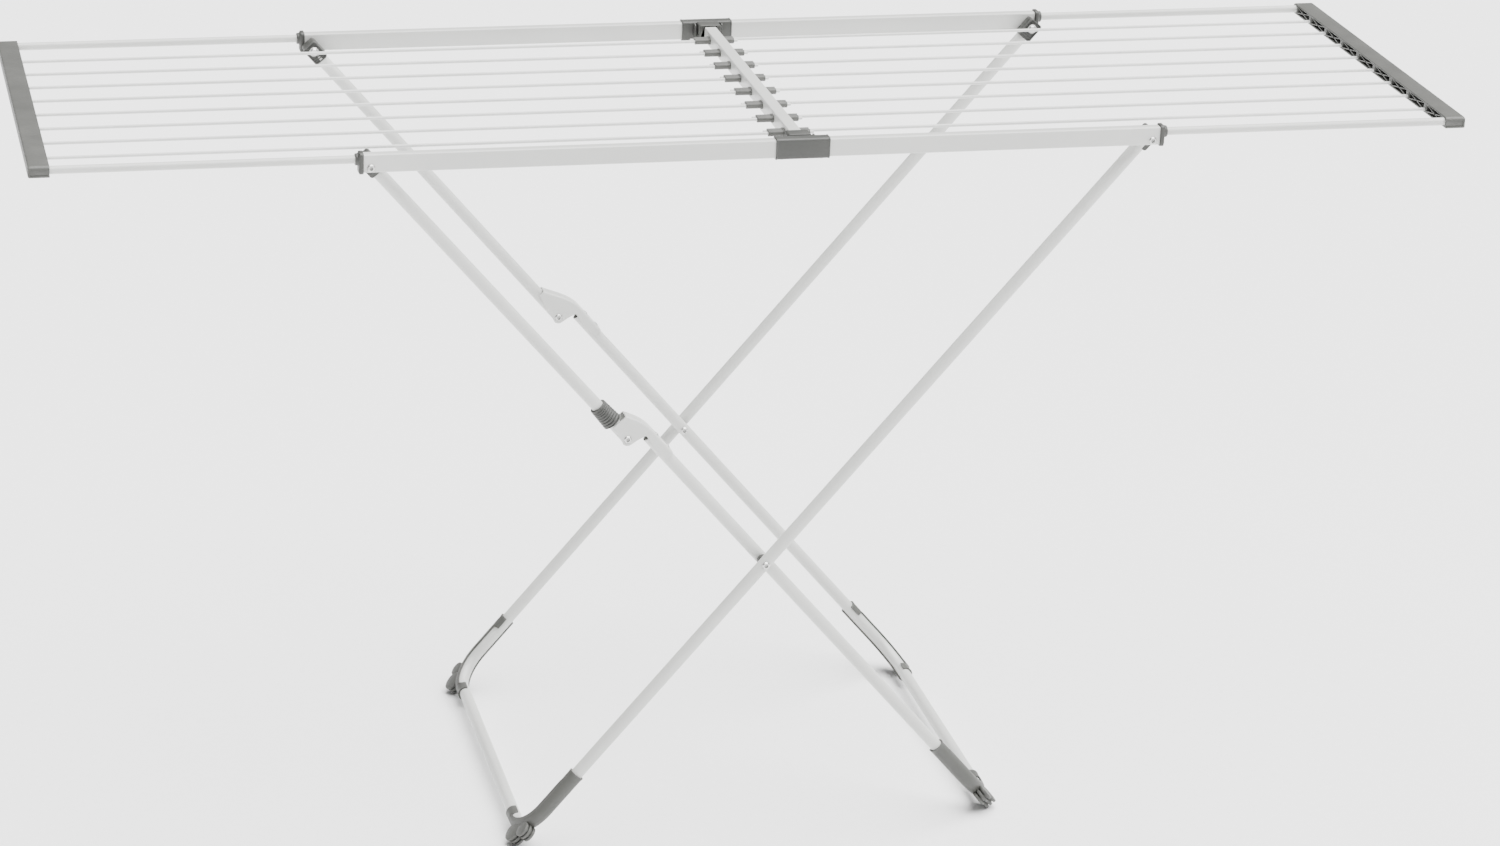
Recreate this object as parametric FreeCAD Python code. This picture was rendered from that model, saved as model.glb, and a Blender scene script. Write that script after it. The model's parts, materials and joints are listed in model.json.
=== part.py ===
"""Extendable clothes drying rack on folding crossed legs.

A table of two hollow rails carries a wing at each end.  Each wing is a plastic end bar, two
tubes that slide in the rails and eight drying rods that slide through guides in the middle
bar.  Two U-shaped leg frames cross under the table; the inner one has a knee and a lock collar.

Units are millimetres.  X runs along the table, Y across it, Z up.  The origin is on the floor
below the middle of the table.
"""
import FreeCAD, Part
import math
import os

V = FreeCAD.Vector
Y_AXIS = V(0, 1, 0)

# ---- table
table_length = 1800.0        # over both wings, pulled out
table_width = 558.0          # over the outer faces of the rails
table_height = 950.0         # floor to the top of the rails
rail_span = 1010.0           # over the flanges of the rail caps
rail_depth = 14.0
rail_height = 23.0
rail_wall = 1.0
rail_corner = 2.5

# ---- rail caps
flange_thickness = 6.0
flange_lip = 2.0             # how far the flange stands proud of the rail
plug_length = 20.0
hub_radius = 7.5
hub_length = 4.0

# ---- wings
wing_tube_radius = 5.0
wing_tube_wall = 0.8
wing_tube_drop = 7.3         # below the rail top
rod_radius = 2.0
rod_drop = 10.0              # below the rail top
rod_count = 8
rod_tip = 5.0                # rod end past the far face of its guide
end_bar_width = 26.0
end_bar_height = 14.0
end_bar_round = 5.0
end_bar_wall = 2.2
end_bar_overhang = 1.0       # past the outer faces of the rails
rod_boss = 9.0               # solid block round each rod and tube end
rib_thickness = 1.4
socket_depth = 18.0
slider_length = 22.0
slider_gap = 0.2
stop_gap = 0.5

# ---- middle bar and rod guides
bar_x = 43.0
bar_width = 16.0
bar_height = 19.0
bar_wall = 1.0
bar_end_gap = 3.0            # from the bar's end to the rail's inner face
guide_left = 21.0            # reach past the bar on the -X side
guide_right = 16.0
guide_height = 8.0
guide_side_wall = 2.0
bore_pitch = 7.0             # between the two rods of one guide
saddle_length = 68.0
saddle_wall = 2.0
saddle_lip = 4.0
lug_length = 30.0
lug_reach = 22.0
lug_drop = 21.0

# ---- legs
leg_radius = 8.0
leg_wall = 1.0
pivot_inset = 15.0           # from the rail cap's outer face
pivot_drop = 17.0            # below the rail top
cross_x = 22.0
cross_drop = 568.4           # crossing point below the rail top
rail_gap = 1.5               # outer frame to the rails' inner faces
cross_gap = 5.0              # between the two frames where they cross
upper_leg_length = 502.5     # pivot to knee pin
upper_leg_top_gap = 7.0      # upper leg to the rail's inner face, at its top
knee_offset = 21.0           # knee pin to the lower tube's axis
lower_tube_start = 12.0      # lower tube's end past the knee pin
upper_tube_end = 7.0         # upper tube's end past the knee pin
bend_radius = 45.0
foot_axis_height = 20.2

# ---- fittings, pins and rivets
fitting_wall = 2.0
fitting_length = 17.0        # below the pivot, along the leg
fitting_top = 12.0           # above the pivot, along the leg
fitting_nose = 8.5
fitting_gap = 0.3
tube_seat = 6.0              # from the pivot to the tube's end inside its fitting
plug_reach = 38.0            # how far the fitting's plug runs into the tube
plug_gap = 0.05
pin_radius = 3.0
pin_clearance = 0.06
head_radius = 5.0
head_height = 2.2
washer_radius = 6.0
washer_thickness = 1.0
rivet_radius = 2.0
rivet_head_radius = 3.6
rivet_head_height = 1.4
spacer_radius = 7.5

# ---- knee brackets
sheet = 1.5
bracket_side_gap = 1.5       # the upper leg leans a little inside the channel
bracket_lower_end = 55.0
bracket_upper_end = 42.0     # far side: the tongue lies on the upper tube
bracket_short_end = 25.0     # near side: stops below the lock collar
bracket_nose = 8.5

# ---- lock collar
collar_start = 28.0
collar_length = 30.0
collar_core = 10.6
collar_rib = 13.0
collar_ribs = 6
collar_clearance = 0.08

# ---- foot clips
clip_wall = 2.5
clip_leg_length = 62.0
clip_cross_length = 14.0
clip_opening = 3.0           # the shell stops this far short of the tube's inner side
lobe_reach = 61.0            # from the middle of the bend's arc to the middle of a lobe
lobe_radius = 14.0           # the lobe that stands on the floor
lobe_angle = 60.0            # its place round the bend, from the leg's side
upper_lobe_radius = 10.5
upper_lobe_angle = 40.0
lobe_plates = 3
lobe_plate = 4.0
lobe_plate_gap = 2.0

# ---- values worked out from the sizes above
rail_top = table_height
rail_bottom = rail_top - rail_height
rail_outer_y = table_width / 2
rail_inner_y = rail_outer_y - rail_depth
rail_mid_y = (rail_outer_y + rail_inner_y) / 2
cap_face_x = rail_span / 2
rail_end_x = cap_face_x - flange_thickness
tube_z = rail_top - wing_tube_drop
rod_z = rail_top - rod_drop
wing_end_x = table_length / 2
end_bar_inner_x = wing_end_x - end_bar_width
slider_outer_x = rail_end_x - plug_length - stop_gap
slider_inner_x = slider_outer_x - slider_length
rod_pitch = 2 * rail_mid_y / (rod_count + 1)
pivot_x = cap_face_x - pivot_inset
pivot_z = rail_top - pivot_drop
outer_frame_y = rail_inner_y - rail_gap - leg_radius
inner_frame_y = outer_frame_y - cross_gap - 2 * leg_radius
upper_leg_top_y = rail_inner_y - upper_leg_top_gap - leg_radius

crossing = V(cross_x, 0, rail_top - cross_drop)
left_pivot = V(-pivot_x, 0, pivot_z)
right_pivot = V(pivot_x, 0, pivot_z)


def turned(direction, degrees):
    """The direction turned in the XZ plane, counter-clockwise seen from -Y."""
    angle = math.radians(degrees)
    x = direction.x * math.cos(angle) - direction.z * math.sin(angle)
    z = direction.x * math.sin(angle) + direction.z * math.cos(angle)
    return V(x, 0, z)


def unit(vector):
    """The vector at length one."""
    return vector * (1.0 / vector.Length)


to_crossing = crossing - left_pivot
tilt = math.degrees(math.asin(knee_offset / to_crossing.Length))
inner_down = turned(unit(to_crossing), -tilt)
inner_side = turned(inner_down, 90)
knee = left_pivot + inner_down * upper_leg_length
outer_down = unit(crossing - right_pivot)
outer_length = (pivot_z - foot_axis_height) / -outer_down.z
lower_origin = knee + inner_side * knee_offset
lower_length = (lower_origin.z - foot_axis_height) / -inner_down.z


# ---- general helpers
def block(low, high):
    """A box between two corners."""
    size = high - low
    return Part.makeBox(size.x, size.y, size.z, low)


def rod(start, end, radius):
    """A round bar between two points."""
    return Part.makeCylinder(radius, (end - start).Length, start, end - start)


def tube(start, end, radius, wall):
    """A hollow round tube between two points."""
    return rod(start, end, radius).cut(rod(start, end, radius - wall))


def at_y(point, y):
    """The point moved to another Y."""
    return V(point.x, y, point.z)


def pin_along_y(centre, y_low, y_high, radius):
    """A cylinder along Y through a point of the XZ plane."""
    return rod(at_y(centre, y_low), at_y(centre, y_high), radius)


def mirrored(shape):
    """The shape on the other side of the XZ plane."""
    return shape.mirror(V(0, 0, 0), Y_AXIS)


def mirrored_x(shape):
    """The shape on the other side of the YZ plane."""
    return shape.mirror(V(0, 0, 0), V(1, 0, 0))


def joined(shapes):
    """All shapes fused into one solid."""
    first = shapes[0]
    if len(shapes) == 1:
        return first
    return first.fuse(shapes[1:]).removeSplitter()


def save(name, *shapes):
    """Write one node, which holds one solid or a group of separate solids."""
    shape = shapes[0] if len(shapes) == 1 else Part.makeCompound(list(shapes))
    shape.exportStep("parts/" + name + ".step")


def rounded_bar(x_low, x_high, y_low, y_high, z_low, z_high, corner):
    """A bar along X with rounded long edges."""
    solid = block(V(x_low, y_low, z_low), V(x_high, y_high, z_high))
    if corner <= 0:
        return solid
    long_edges = [e for e in solid.Edges if abs(e.tangentAt(e.FirstParameter).x) > 0.99]
    return solid.makeFillet(corner, long_edges)


# ---- table
def rail():
    """The far rail: a hollow flat tube with holes for the two leg pivots."""
    outer = rounded_bar(-rail_end_x, rail_end_x, rail_inner_y, rail_outer_y,
                        rail_bottom, rail_top, rail_corner)
    inner = rounded_bar(-rail_end_x, rail_end_x, rail_inner_y + rail_wall, rail_outer_y - rail_wall,
                        rail_bottom + rail_wall, rail_top - rail_wall, rail_corner - rail_wall)
    solid = outer.cut(inner)
    for pivot in (left_pivot, right_pivot):
        solid = solid.cut(pin_along_y(pivot, rail_inner_y - 1, rail_outer_y + 1, pin_radius))
    return solid


def rail_cap():
    """The right cap of the far rail: flange, hub round the sliding tube, plug in the rail."""
    flange = rounded_bar(rail_end_x, cap_face_x, rail_inner_y - flange_lip, rail_outer_y + flange_lip,
                         rail_bottom - flange_lip, rail_top + flange_lip, rail_corner + 1.5)
    plug = rounded_bar(rail_end_x - plug_length, rail_end_x, rail_inner_y + rail_wall,
                       rail_outer_y - rail_wall, rail_bottom + rail_wall, rail_top - rail_wall,
                       rail_corner - rail_wall)
    hub = rod(V(cap_face_x - 1, rail_mid_y, tube_z), V(cap_face_x + hub_length, rail_mid_y, tube_z),
              hub_radius)
    bore = rod(V(rail_end_x - plug_length - 1, rail_mid_y, tube_z),
               V(cap_face_x + hub_length + 1, rail_mid_y, tube_z), wing_tube_radius + pin_clearance)
    bolt_hole = pin_along_y(right_pivot, rail_inner_y - 5, rail_outer_y + 5, pin_radius)
    return joined([flange, plug, hub]).cut(bore).cut(bolt_hole)


def middle_bar():
    """The cross bar: a hollow box tube with a window for each rod guide."""
    end_y = rail_inner_y - bar_end_gap
    half = bar_width / 2
    top = rod_z + bar_height / 2
    bottom = rod_z - bar_height / 2
    outer = block(V(bar_x - half, -end_y, bottom), V(bar_x + half, end_y, top))
    inner = block(V(bar_x - half + bar_wall, -end_y, bottom + bar_wall),
                  V(bar_x + half - bar_wall, end_y, top - bar_wall))
    solid = outer.cut(inner)
    for y in rod_places():
        solid = solid.cut(guide_body(y))
    return solid


def rod_places():
    """The Y of each rod guide, from -Y to +Y."""
    first = -rod_pitch * (rod_count - 1) / 2
    return [first + rod_pitch * i for i in range(rod_count)]


def guide_body(y):
    """The outside of one rod guide, which fills its window in the middle bar."""
    half_y = bore_pitch / 2 + rod_radius + guide_side_wall
    return rounded_bar(bar_x - bar_width / 2 - guide_left, bar_x + bar_width / 2 + guide_right,
                       y - half_y, y + half_y, rod_z - guide_height / 2, rod_z + guide_height / 2, 2.5)


def rod_guide(y):
    """One guide with its two bores, side by side."""
    solid = guide_body(y)
    for side in (-1, 1):
        start = V(bar_x - bar_width / 2 - guide_left - 1, y + side * bore_pitch / 2, rod_z)
        end = V(bar_x + bar_width / 2 + guide_right + 1, start.y, rod_z)
        solid = solid.cut(rod(start, end, rod_radius + pin_clearance))
    return solid


def saddle():
    """The far saddle: it wraps the rail and its lug holds the end of the middle bar."""
    low_x = bar_x - saddle_length / 2
    high_x = bar_x + saddle_length / 2
    shell = rounded_bar(low_x, high_x, rail_inner_y - saddle_wall, rail_outer_y + saddle_wall,
                        rail_bottom - saddle_wall, rail_top + saddle_wall, rail_corner + 1.5)
    window = block(V(low_x - 1, rail_inner_y - saddle_wall - 1, rail_bottom + saddle_lip),
                   V(high_x + 1, rail_inner_y + 1, rail_top - saddle_lip))
    lug = block(V(bar_x - lug_length / 2, rail_inner_y - lug_reach, rail_top + saddle_wall - lug_drop),
                V(bar_x + lug_length / 2, rail_inner_y, rail_top + saddle_wall))
    lug_edges = [e for e in lug.Edges if abs(e.tangentAt(e.FirstParameter).z) > 0.99]
    lug = lug.makeFillet(3.0, [e for e in lug_edges if e.CenterOfMass.y < rail_inner_y - 1])
    core = rounded_bar(low_x - 1, high_x + 1, rail_inner_y, rail_outer_y, rail_bottom, rail_top,
                       rail_corner)
    half = bar_width / 2
    socket = block(V(bar_x - half, rail_inner_y - lug_reach - 1, rod_z - bar_height / 2),
                   V(bar_x + half, rail_inner_y - bar_end_gap, rod_z + bar_height / 2))
    return joined([shell.cut(window), lug]).cut(core).cut(socket)


def saddle_rivets():
    """Two rivets that fix the far saddle to the rail from below."""
    rivets = []
    for side in (-1, 1):
        x = bar_x + side * (saddle_length / 2 - 9)
        inside = V(x, rail_mid_y, rail_bottom + rail_wall)
        outside = V(x, rail_mid_y, rail_bottom - saddle_wall)
        cap = V(x, rail_mid_y, rail_bottom - saddle_wall - rivet_head_height)
        rivets.append(joined([rod(inside, outside, rivet_radius), rod(outside, cap, rivet_head_radius)]))
    return rivets


def drilled_for(solid, pins):
    """The solid with a seat for each pin or rivet."""
    for pin in pins:
        solid = solid.cut(pin)
    return solid


# ---- leg pivots
def pivot_bolt(pivot, fitting_inner_y):
    """The bolt of one far leg pivot, from the rail's outer face to its inner head."""
    inner_end = fitting_inner_y - fitting_gap - washer_thickness
    shank = pin_along_y(pivot, inner_end, rail_outer_y, pin_radius)
    head = pin_along_y(pivot, rail_outer_y, rail_outer_y + head_height, head_radius)
    inner_head = pin_along_y(pivot, inner_end - head_height, inner_end, head_radius)
    return joined([shank, head, inner_head])


def pivot_washer(pivot, fitting_inner_y):
    """The washer between the inner head and the leg fitting."""
    high = fitting_inner_y - fitting_gap
    low = high - washer_thickness
    return pin_along_y(pivot, low, high, washer_radius).cut(
        pin_along_y(pivot, low - 1, high + 1, pin_radius))


def leg_fitting(pivot, down, tube_y, tube_top, along):
    """The far plastic fitting on a leg's top end: a sleeve round the tube and a plug in it."""
    side = turned(down, 90)
    half = leg_radius + fitting_wall
    low_y = tube_y - half
    high_y = rail_inner_y - flange_lip - fitting_gap
    top = pivot - down * fitting_top
    bottom = pivot + down * fitting_length
    corners = [top + side * half, bottom + side * half, bottom - side * half, top - side * half]
    outline = Part.makePolygon([at_y(c, low_y) for c in corners + corners[:1]])
    sleeve = Part.Face(outline).extrude(V(0, high_y - low_y, 0))
    corner_edges = [e for e in sleeve.Edges if abs(e.tangentAt(e.FirstParameter).y) > 0.99]
    sleeve = sleeve.makeFillet(3.0, corner_edges)
    nose = pin_along_y(pivot, low_y, rail_inner_y - fitting_gap, fitting_nose)
    bore = pin_along_y(pivot, low_y - 1, rail_inner_y, pin_radius + pin_clearance)
    seat = rod(tube_top, tube_top + along * plug_reach, leg_radius)
    plug = rod(tube_top, tube_top + along * plug_reach, leg_radius - leg_wall - plug_gap)
    return joined([joined([sleeve, nose]).cut(bore).cut(seat), plug])


# ---- bent leg frames
def frame_wire(start, down, length, y, trim=0.0):
    """The centre line of a U frame that hangs from start, down one side and up the other."""
    end = start + down * length
    side_end = end - down * bend_radius
    middle = side_end + down * (bend_radius * math.sin(math.radians(45)))
    middle_y = y - bend_radius * (1 - math.cos(math.radians(45)))
    top = start + down * trim
    pieces = []
    for side in (1, -1):
        leg = Part.LineSegment(at_y(top, side * y), at_y(side_end, side * y)).toShape()
        bend = Part.Arc(at_y(side_end, side * y), at_y(middle, side * middle_y),
                        at_y(end, side * (y - bend_radius))).toShape()
        pieces.append((leg, bend))
    cross = Part.LineSegment(at_y(end, y - bend_radius), at_y(end, bend_radius - y)).toShape()
    order = [pieces[0][0], pieces[0][1], cross, pieces[1][1], pieces[1][0]]
    return Part.Wire(Part.__sortEdges__(order))


def pipe(wire, start, direction, radius):
    """A round bar along a wire that starts at a point."""
    profile = Part.Wire(Part.makeCircle(radius, start, direction))
    return wire.makePipeShell([profile], True, False)


def frame_tube(start, down, length, y, trim):
    """A U frame bent from one hollow tube."""
    wire = frame_wire(start, down, length, y, trim)
    top = at_y(start + down * trim, y)
    return pipe(wire, top, down, leg_radius).cut(pipe(wire, top, down, leg_radius - leg_wall))


def clip_wire(start, down, length, y):
    """The centre line of one corner, from up the leg to a little along the cross tube."""
    end = start + down * length
    side_end = end - down * bend_radius
    middle = side_end + down * (bend_radius * math.sin(math.radians(45)))
    middle_y = y - bend_radius * (1 - math.cos(math.radians(45)))
    top = side_end - down * clip_leg_length
    leg = Part.LineSegment(at_y(top, y), at_y(side_end, y)).toShape()
    bend = Part.Arc(at_y(side_end, y), at_y(middle, middle_y), at_y(end, y - bend_radius)).toShape()
    cross = Part.LineSegment(at_y(end, y - bend_radius),
                             at_y(end, y - bend_radius - clip_cross_length)).toShape()
    return Part.Wire(Part.__sortEdges__([leg, bend, cross]))


def clip_inner_side(start, down, length, y):
    """A solid over everything on the inner side of the corner, which the clip leaves open."""
    normal = turned(down, 90)
    end = start + down * (length - clip_opening)
    side_end = start + down * (length - bend_radius)
    far_up = side_end - down * (clip_leg_length + 20)
    edge_y = y - clip_opening
    round_radius = bend_radius - clip_opening
    middle = side_end + down * (round_radius * math.sin(math.radians(45)))
    middle_y = edge_y - round_radius * (1 - math.cos(math.radians(45)))
    deep_y = y - bend_radius - clip_cross_length - 20
    points = [at_y(far_up, edge_y), at_y(side_end, edge_y), at_y(end, y - bend_radius),
              at_y(end, deep_y), at_y(far_up, deep_y)]
    edges = [Part.LineSegment(points[0], points[1]).toShape(),
             Part.Arc(points[1], at_y(middle, middle_y), points[2]).toShape(),
             Part.LineSegment(points[2], points[3]).toShape(),
             Part.LineSegment(points[3], points[4]).toShape(),
             Part.LineSegment(points[4], points[0]).toShape()]
    face = Part.Face(Part.Wire(edges))
    depth = 3 * leg_radius
    face.translate(normal * -depth)
    return face.extrude(normal * (2 * depth))


def foot_lobes(start, down, length, y):
    """The ribbed pads outside one bend: two round lobes, each of three thin plates and a spine."""
    centre = at_y(start + down * (length - bend_radius), y - bend_radius)
    across = turned(down, 90)
    half = lobe_plates * lobe_plate / 2 + (lobe_plates - 1) * lobe_plate_gap / 2
    plates = []
    for degrees, radius in ((lobe_angle, lobe_radius), (upper_lobe_angle, upper_lobe_radius)):
        angle = math.radians(degrees)
        place = centre + down * (lobe_reach * math.sin(angle)) + V(0, lobe_reach * math.cos(angle), 0)
        for i in range(lobe_plates):
            low = place + across * (i * (lobe_plate + lobe_plate_gap) - half)
            plates.append(rod(low, low + across * lobe_plate, radius))
        plates.append(rod(place - across * half, place + across * half, radius - 3.0))
    return plates


def foot_clip(start, down, length, y):
    """The plastic shell snapped round the outside of one bend, with its ribbed foot."""
    wire = clip_wire(start, down, length, y)
    top = at_y(start + down * (length - bend_radius - clip_leg_length), y)
    shell = pipe(wire, top, down, leg_radius + clip_wall)
    shell = shell.cut(clip_inner_side(start, down, length, y))
    lobes = foot_lobes(start, down, length, y)
    core = pipe(frame_wire(start, down, length, y, 0.0), at_y(start, y), down, leg_radius)
    floor = block(V(-wing_end_x, -rail_outer_y, -2 * lobe_radius), V(wing_end_x, rail_outer_y, 0))
    return joined([shell] + lobes).cut(core).cut(floor)


def crossing_rivet():
    """The rivet of the far crossing, with the spacer between the frames, on the outer frame."""
    outside = outer_frame_y + leg_radius
    inside = outer_frame_y - leg_radius
    shank = pin_along_y(crossing, inside, outside, pin_radius)
    head = pin_along_y(crossing, outside - 0.8, outside + head_height, head_radius)
    return joined([shank, head])


def crossing_spacer():
    """The plastic spacer of the far crossing."""
    inside = outer_frame_y - leg_radius
    ring = pin_along_y(crossing, inside - cross_gap + fitting_gap, inside + 2.5, spacer_radius)
    outer_tube = rod(at_y(right_pivot, outer_frame_y),
                     at_y(right_pivot + outer_down * outer_length, outer_frame_y), leg_radius)
    return ring.cut(outer_tube).cut(pin_along_y(crossing, inside, inside + 9, pin_radius))


def crossing_end():
    """The inner end of the far crossing rivet, on the inner frame."""
    inside = inner_frame_y - leg_radius
    shank = pin_along_y(crossing, inside, inside + 2 * leg_radius, pin_radius)
    head = pin_along_y(crossing, inside - head_height, inside + 0.8, head_radius)
    return joined([shank, head])


# ---- knee
def upper_leg_ends():
    """The ends of the far upper leg tube, which leans in towards the knee."""
    top = at_y(left_pivot, upper_leg_top_y)
    pin = at_y(knee, inner_frame_y)
    along = unit(pin - top)
    return top + along * tube_seat, pin + along * upper_tube_end, along


def upper_leg_tube():
    """The far upper leg, drilled for the knee pin."""
    top, end, _ = upper_leg_ends()
    hole = pin_along_y(knee, inner_frame_y - 2 * leg_radius, inner_frame_y + 2 * leg_radius,
                       pin_radius + pin_clearance)
    return tube(top, end, leg_radius, leg_wall).cut(hole)


def knee_point(along, across):
    """A point of the XZ plane, measured from the knee pin along and across the lower tube."""
    return knee + inner_down * along + inner_side * across


def web_edges(offset, upper_end):
    """The arched line of the bracket's web, offset from the tubes, and its two end points."""
    flat = knee_offset + leg_radius + offset
    start = knee_point(-bracket_upper_end, leg_radius + fitting_gap + offset)
    bend = knee_point(-bracket_upper_end / 3, flat - 6.0)
    level = knee_point(lower_tube_start, flat)
    arc = Part.Arc(start, bend, level)
    if upper_end < bracket_upper_end:
        cut_line = Part.LineSegment(knee_point(-upper_end, -40), knee_point(-upper_end, 60))
        hit = arc.intersect(cut_line)[0]
        start = V(hit.X, hit.Y, hit.Z)
        middle = arc.value((arc.parameter(start) + arc.parameter(level)) / 2)
        arc = Part.Arc(start, middle, level)
    return arc.toShape(), start, level


def bracket_outline(upper_end):
    """The side view of a knee bracket."""
    flat = knee_offset + leg_radius + sheet
    web, start, level = web_edges(sheet, upper_end)
    lower = knee_point(bracket_lower_end, flat)
    low_side = knee_point(bracket_lower_end, knee_offset)
    notch = knee_point(lower_tube_start + 6, knee_offset)
    nose_top = knee_point(bracket_nose, 2.0)
    nose_tip = knee_point(2.0, -bracket_nose)
    nose_bend = knee + unit(nose_top - knee + nose_tip - knee) * bracket_nose
    back = knee_point(-upper_end, 1.0)
    points = [level, lower, low_side, notch, nose_top]
    edges = [web]
    edges += [Part.LineSegment(a, b).toShape() for a, b in zip(points, points[1:])]
    edges.append(Part.Arc(nose_top, nose_bend, nose_tip).toShape())
    edges.append(Part.LineSegment(nose_tip, back).toShape())
    edges.append(Part.LineSegment(back, start).toShape())
    return Part.Wire(Part.__sortEdges__(edges))


def bracket_hollow(upper_end):
    """The side view of the space inside a bracket, open towards the knee pin's side."""
    web, start, level = web_edges(0.0, upper_end)
    flat = knee_offset + leg_radius
    lower = knee_point(bracket_lower_end + 5, flat)
    deep_lower = knee_point(bracket_lower_end + 5, -40)
    deep_upper = knee_point(-upper_end - 5, -40)
    above = knee_point(-upper_end - 5, 0)
    points = [level, lower, deep_lower, deep_upper, above, start]
    edges = [web] + [Part.LineSegment(a, b).toShape() for a, b in zip(points, points[1:])]
    return Part.Wire(Part.__sortEdges__(edges))


def knee_bracket(upper_end):
    """A far knee bracket: a pressed steel channel over the lower tube, with its pin holes."""
    half = leg_radius + bracket_side_gap
    outer = Part.Face(bracket_outline(upper_end))
    outer.translate(V(0, inner_frame_y - half - sheet, 0))
    solid = outer.extrude(V(0, 2 * (half + sheet), 0))
    inner = Part.Face(bracket_hollow(upper_end))
    inner.translate(V(0, inner_frame_y - half, 0))
    solid = solid.cut(inner.extrude(V(0, 2 * half, 0)))
    return solid.cut(pin_along_y(knee, inner_frame_y - 20, inner_frame_y + 20, pin_radius))


def knee_pin():
    """The far knee pin with a head on each side."""
    half = leg_radius + bracket_side_gap + sheet
    low = inner_frame_y - half
    high = inner_frame_y + half
    return joined([pin_along_y(knee, low, high, pin_radius),
                   pin_along_y(knee, low - head_height, low, head_radius),
                   pin_along_y(knee, high, high + head_height, head_radius)])


def bracket_rivets():
    """The two rivets that fix a far bracket to the lower tube."""
    rivets = []
    seat = knee_offset + leg_radius + sheet
    for along in (bracket_lower_end - 8, bracket_lower_end - 30):
        foot = at_y(knee_point(along, seat - 5), inner_frame_y)
        top = at_y(knee_point(along, seat), inner_frame_y)
        cap = at_y(knee_point(along, seat + rivet_head_height), inner_frame_y)
        rivets.append(joined([rod(foot, top, rivet_radius), rod(top, cap, rivet_head_radius)]))
    return rivets


def lock_collar():
    """The ribbed collar on the near upper leg."""
    _, end, along = upper_leg_ends()
    low = end - along * (upper_tube_end + collar_start)
    high = low - along * collar_length
    parts = [rod(low, high, collar_core)]
    rib = collar_length / (2 * collar_ribs - 1)
    for i in range(collar_ribs):
        start = low - along * (2 * rib * i)
        parts.append(rod(start, start - along * rib, collar_rib))
    bore = rod(low + along, high - along, leg_radius + collar_clearance)
    return mirrored(joined(parts).cut(bore))


# ---- wings, modelled as the right one
def wing_rod(y, inner_x):
    """One drying rod from the end bar to just past its guide."""
    return rod(V(inner_x, y, rod_z), V(end_bar_inner_x + socket_depth, y, rod_z), rod_radius)


def wing_tube(side):
    """One sliding side tube."""
    start = V(slider_inner_x, side * rail_mid_y, tube_z)
    end = V(end_bar_inner_x + socket_depth, side * rail_mid_y, tube_z)
    return tube(start, end, wing_tube_radius, wing_tube_wall)


def slider(side):
    """The plastic shoe on the inner end of a side tube, which runs inside the rail."""
    half_y = rail_depth / 2 - rail_wall - slider_gap
    centre = side * rail_mid_y
    shoe = rounded_bar(slider_inner_x, slider_outer_x, centre - half_y, centre + half_y,
                       rail_bottom + rail_wall + slider_gap, rail_top - rail_wall - slider_gap,
                       rail_corner - rail_wall)
    return shoe.cut(rod(V(slider_inner_x - 1, centre, tube_z), V(slider_outer_x + 1, centre, tube_z),
                        wing_tube_radius))


def cell_pockets(y_low, y_high):
    """The four wedges that leave an X of ribs in one cell of the end bar."""
    low_z = tube_z - end_bar_height / 2 + end_bar_wall
    high_z = tube_z + end_bar_height / 2 - end_bar_wall
    middle_y = (y_low + y_high) / 2
    middle_z = (low_z + high_z) / 2
    slope = math.hypot(y_high - y_low, high_z - low_z)
    inset_y = rib_thickness / 2 * slope / (high_z - low_z)
    inset_z = rib_thickness / 2 * slope / (y_high - y_low)
    wedges = [
        [(y_low, low_z + inset_z), (y_low, high_z - inset_z), (middle_y - inset_y, middle_z)],
        [(y_high, low_z + inset_z), (y_high, high_z - inset_z), (middle_y + inset_y, middle_z)],
        [(y_low + inset_y, high_z), (y_high - inset_y, high_z), (middle_y, middle_z + inset_z)],
        [(y_low + inset_y, low_z), (y_high - inset_y, low_z), (middle_y, middle_z - inset_z)]]
    pockets = []
    for wedge in wedges:
        points = [V(end_bar_inner_x, y, z) for y, z in wedge + wedge[:1]]
        face = Part.Face(Part.makePolygon(points))
        pockets.append(face.extrude(V(end_bar_width - end_bar_wall, 0, 0)))
    return pockets


def end_bar(rod_ys, rods, tubes):
    """The plastic bar at the end of a wing: a channel of X-ribbed cells open to the inside."""
    end_y = rail_outer_y + end_bar_overhang
    low = V(end_bar_inner_x, -end_y, tube_z - end_bar_height / 2)
    high = V(wing_end_x, end_y, tube_z + end_bar_height / 2)
    solid = block(low, high)
    outer = [e for e in solid.Edges
             if abs(e.CenterOfMass.y) > end_y - 1 and e.CenterOfMass.z > tube_z + 1
             and abs(e.tangentAt(e.FirstParameter).x) > 0.99]
    solid = solid.makeFillet(end_bar_round, outer)
    rims = [e for e in solid.Edges if e.CenterOfMass.x > wing_end_x - 0.1]
    solid = solid.makeFillet(1.2, rims)
    walls = [-rail_mid_y] + rod_ys + [rail_mid_y]
    pockets = []
    for y_low, y_high in zip(walls, walls[1:]):
        pockets += cell_pockets(y_low + rod_boss / 2, y_high - rod_boss / 2)
    solid = solid.cut(Part.makeCompound(pockets))
    return drilled_for(solid, rods + tubes)


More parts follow.
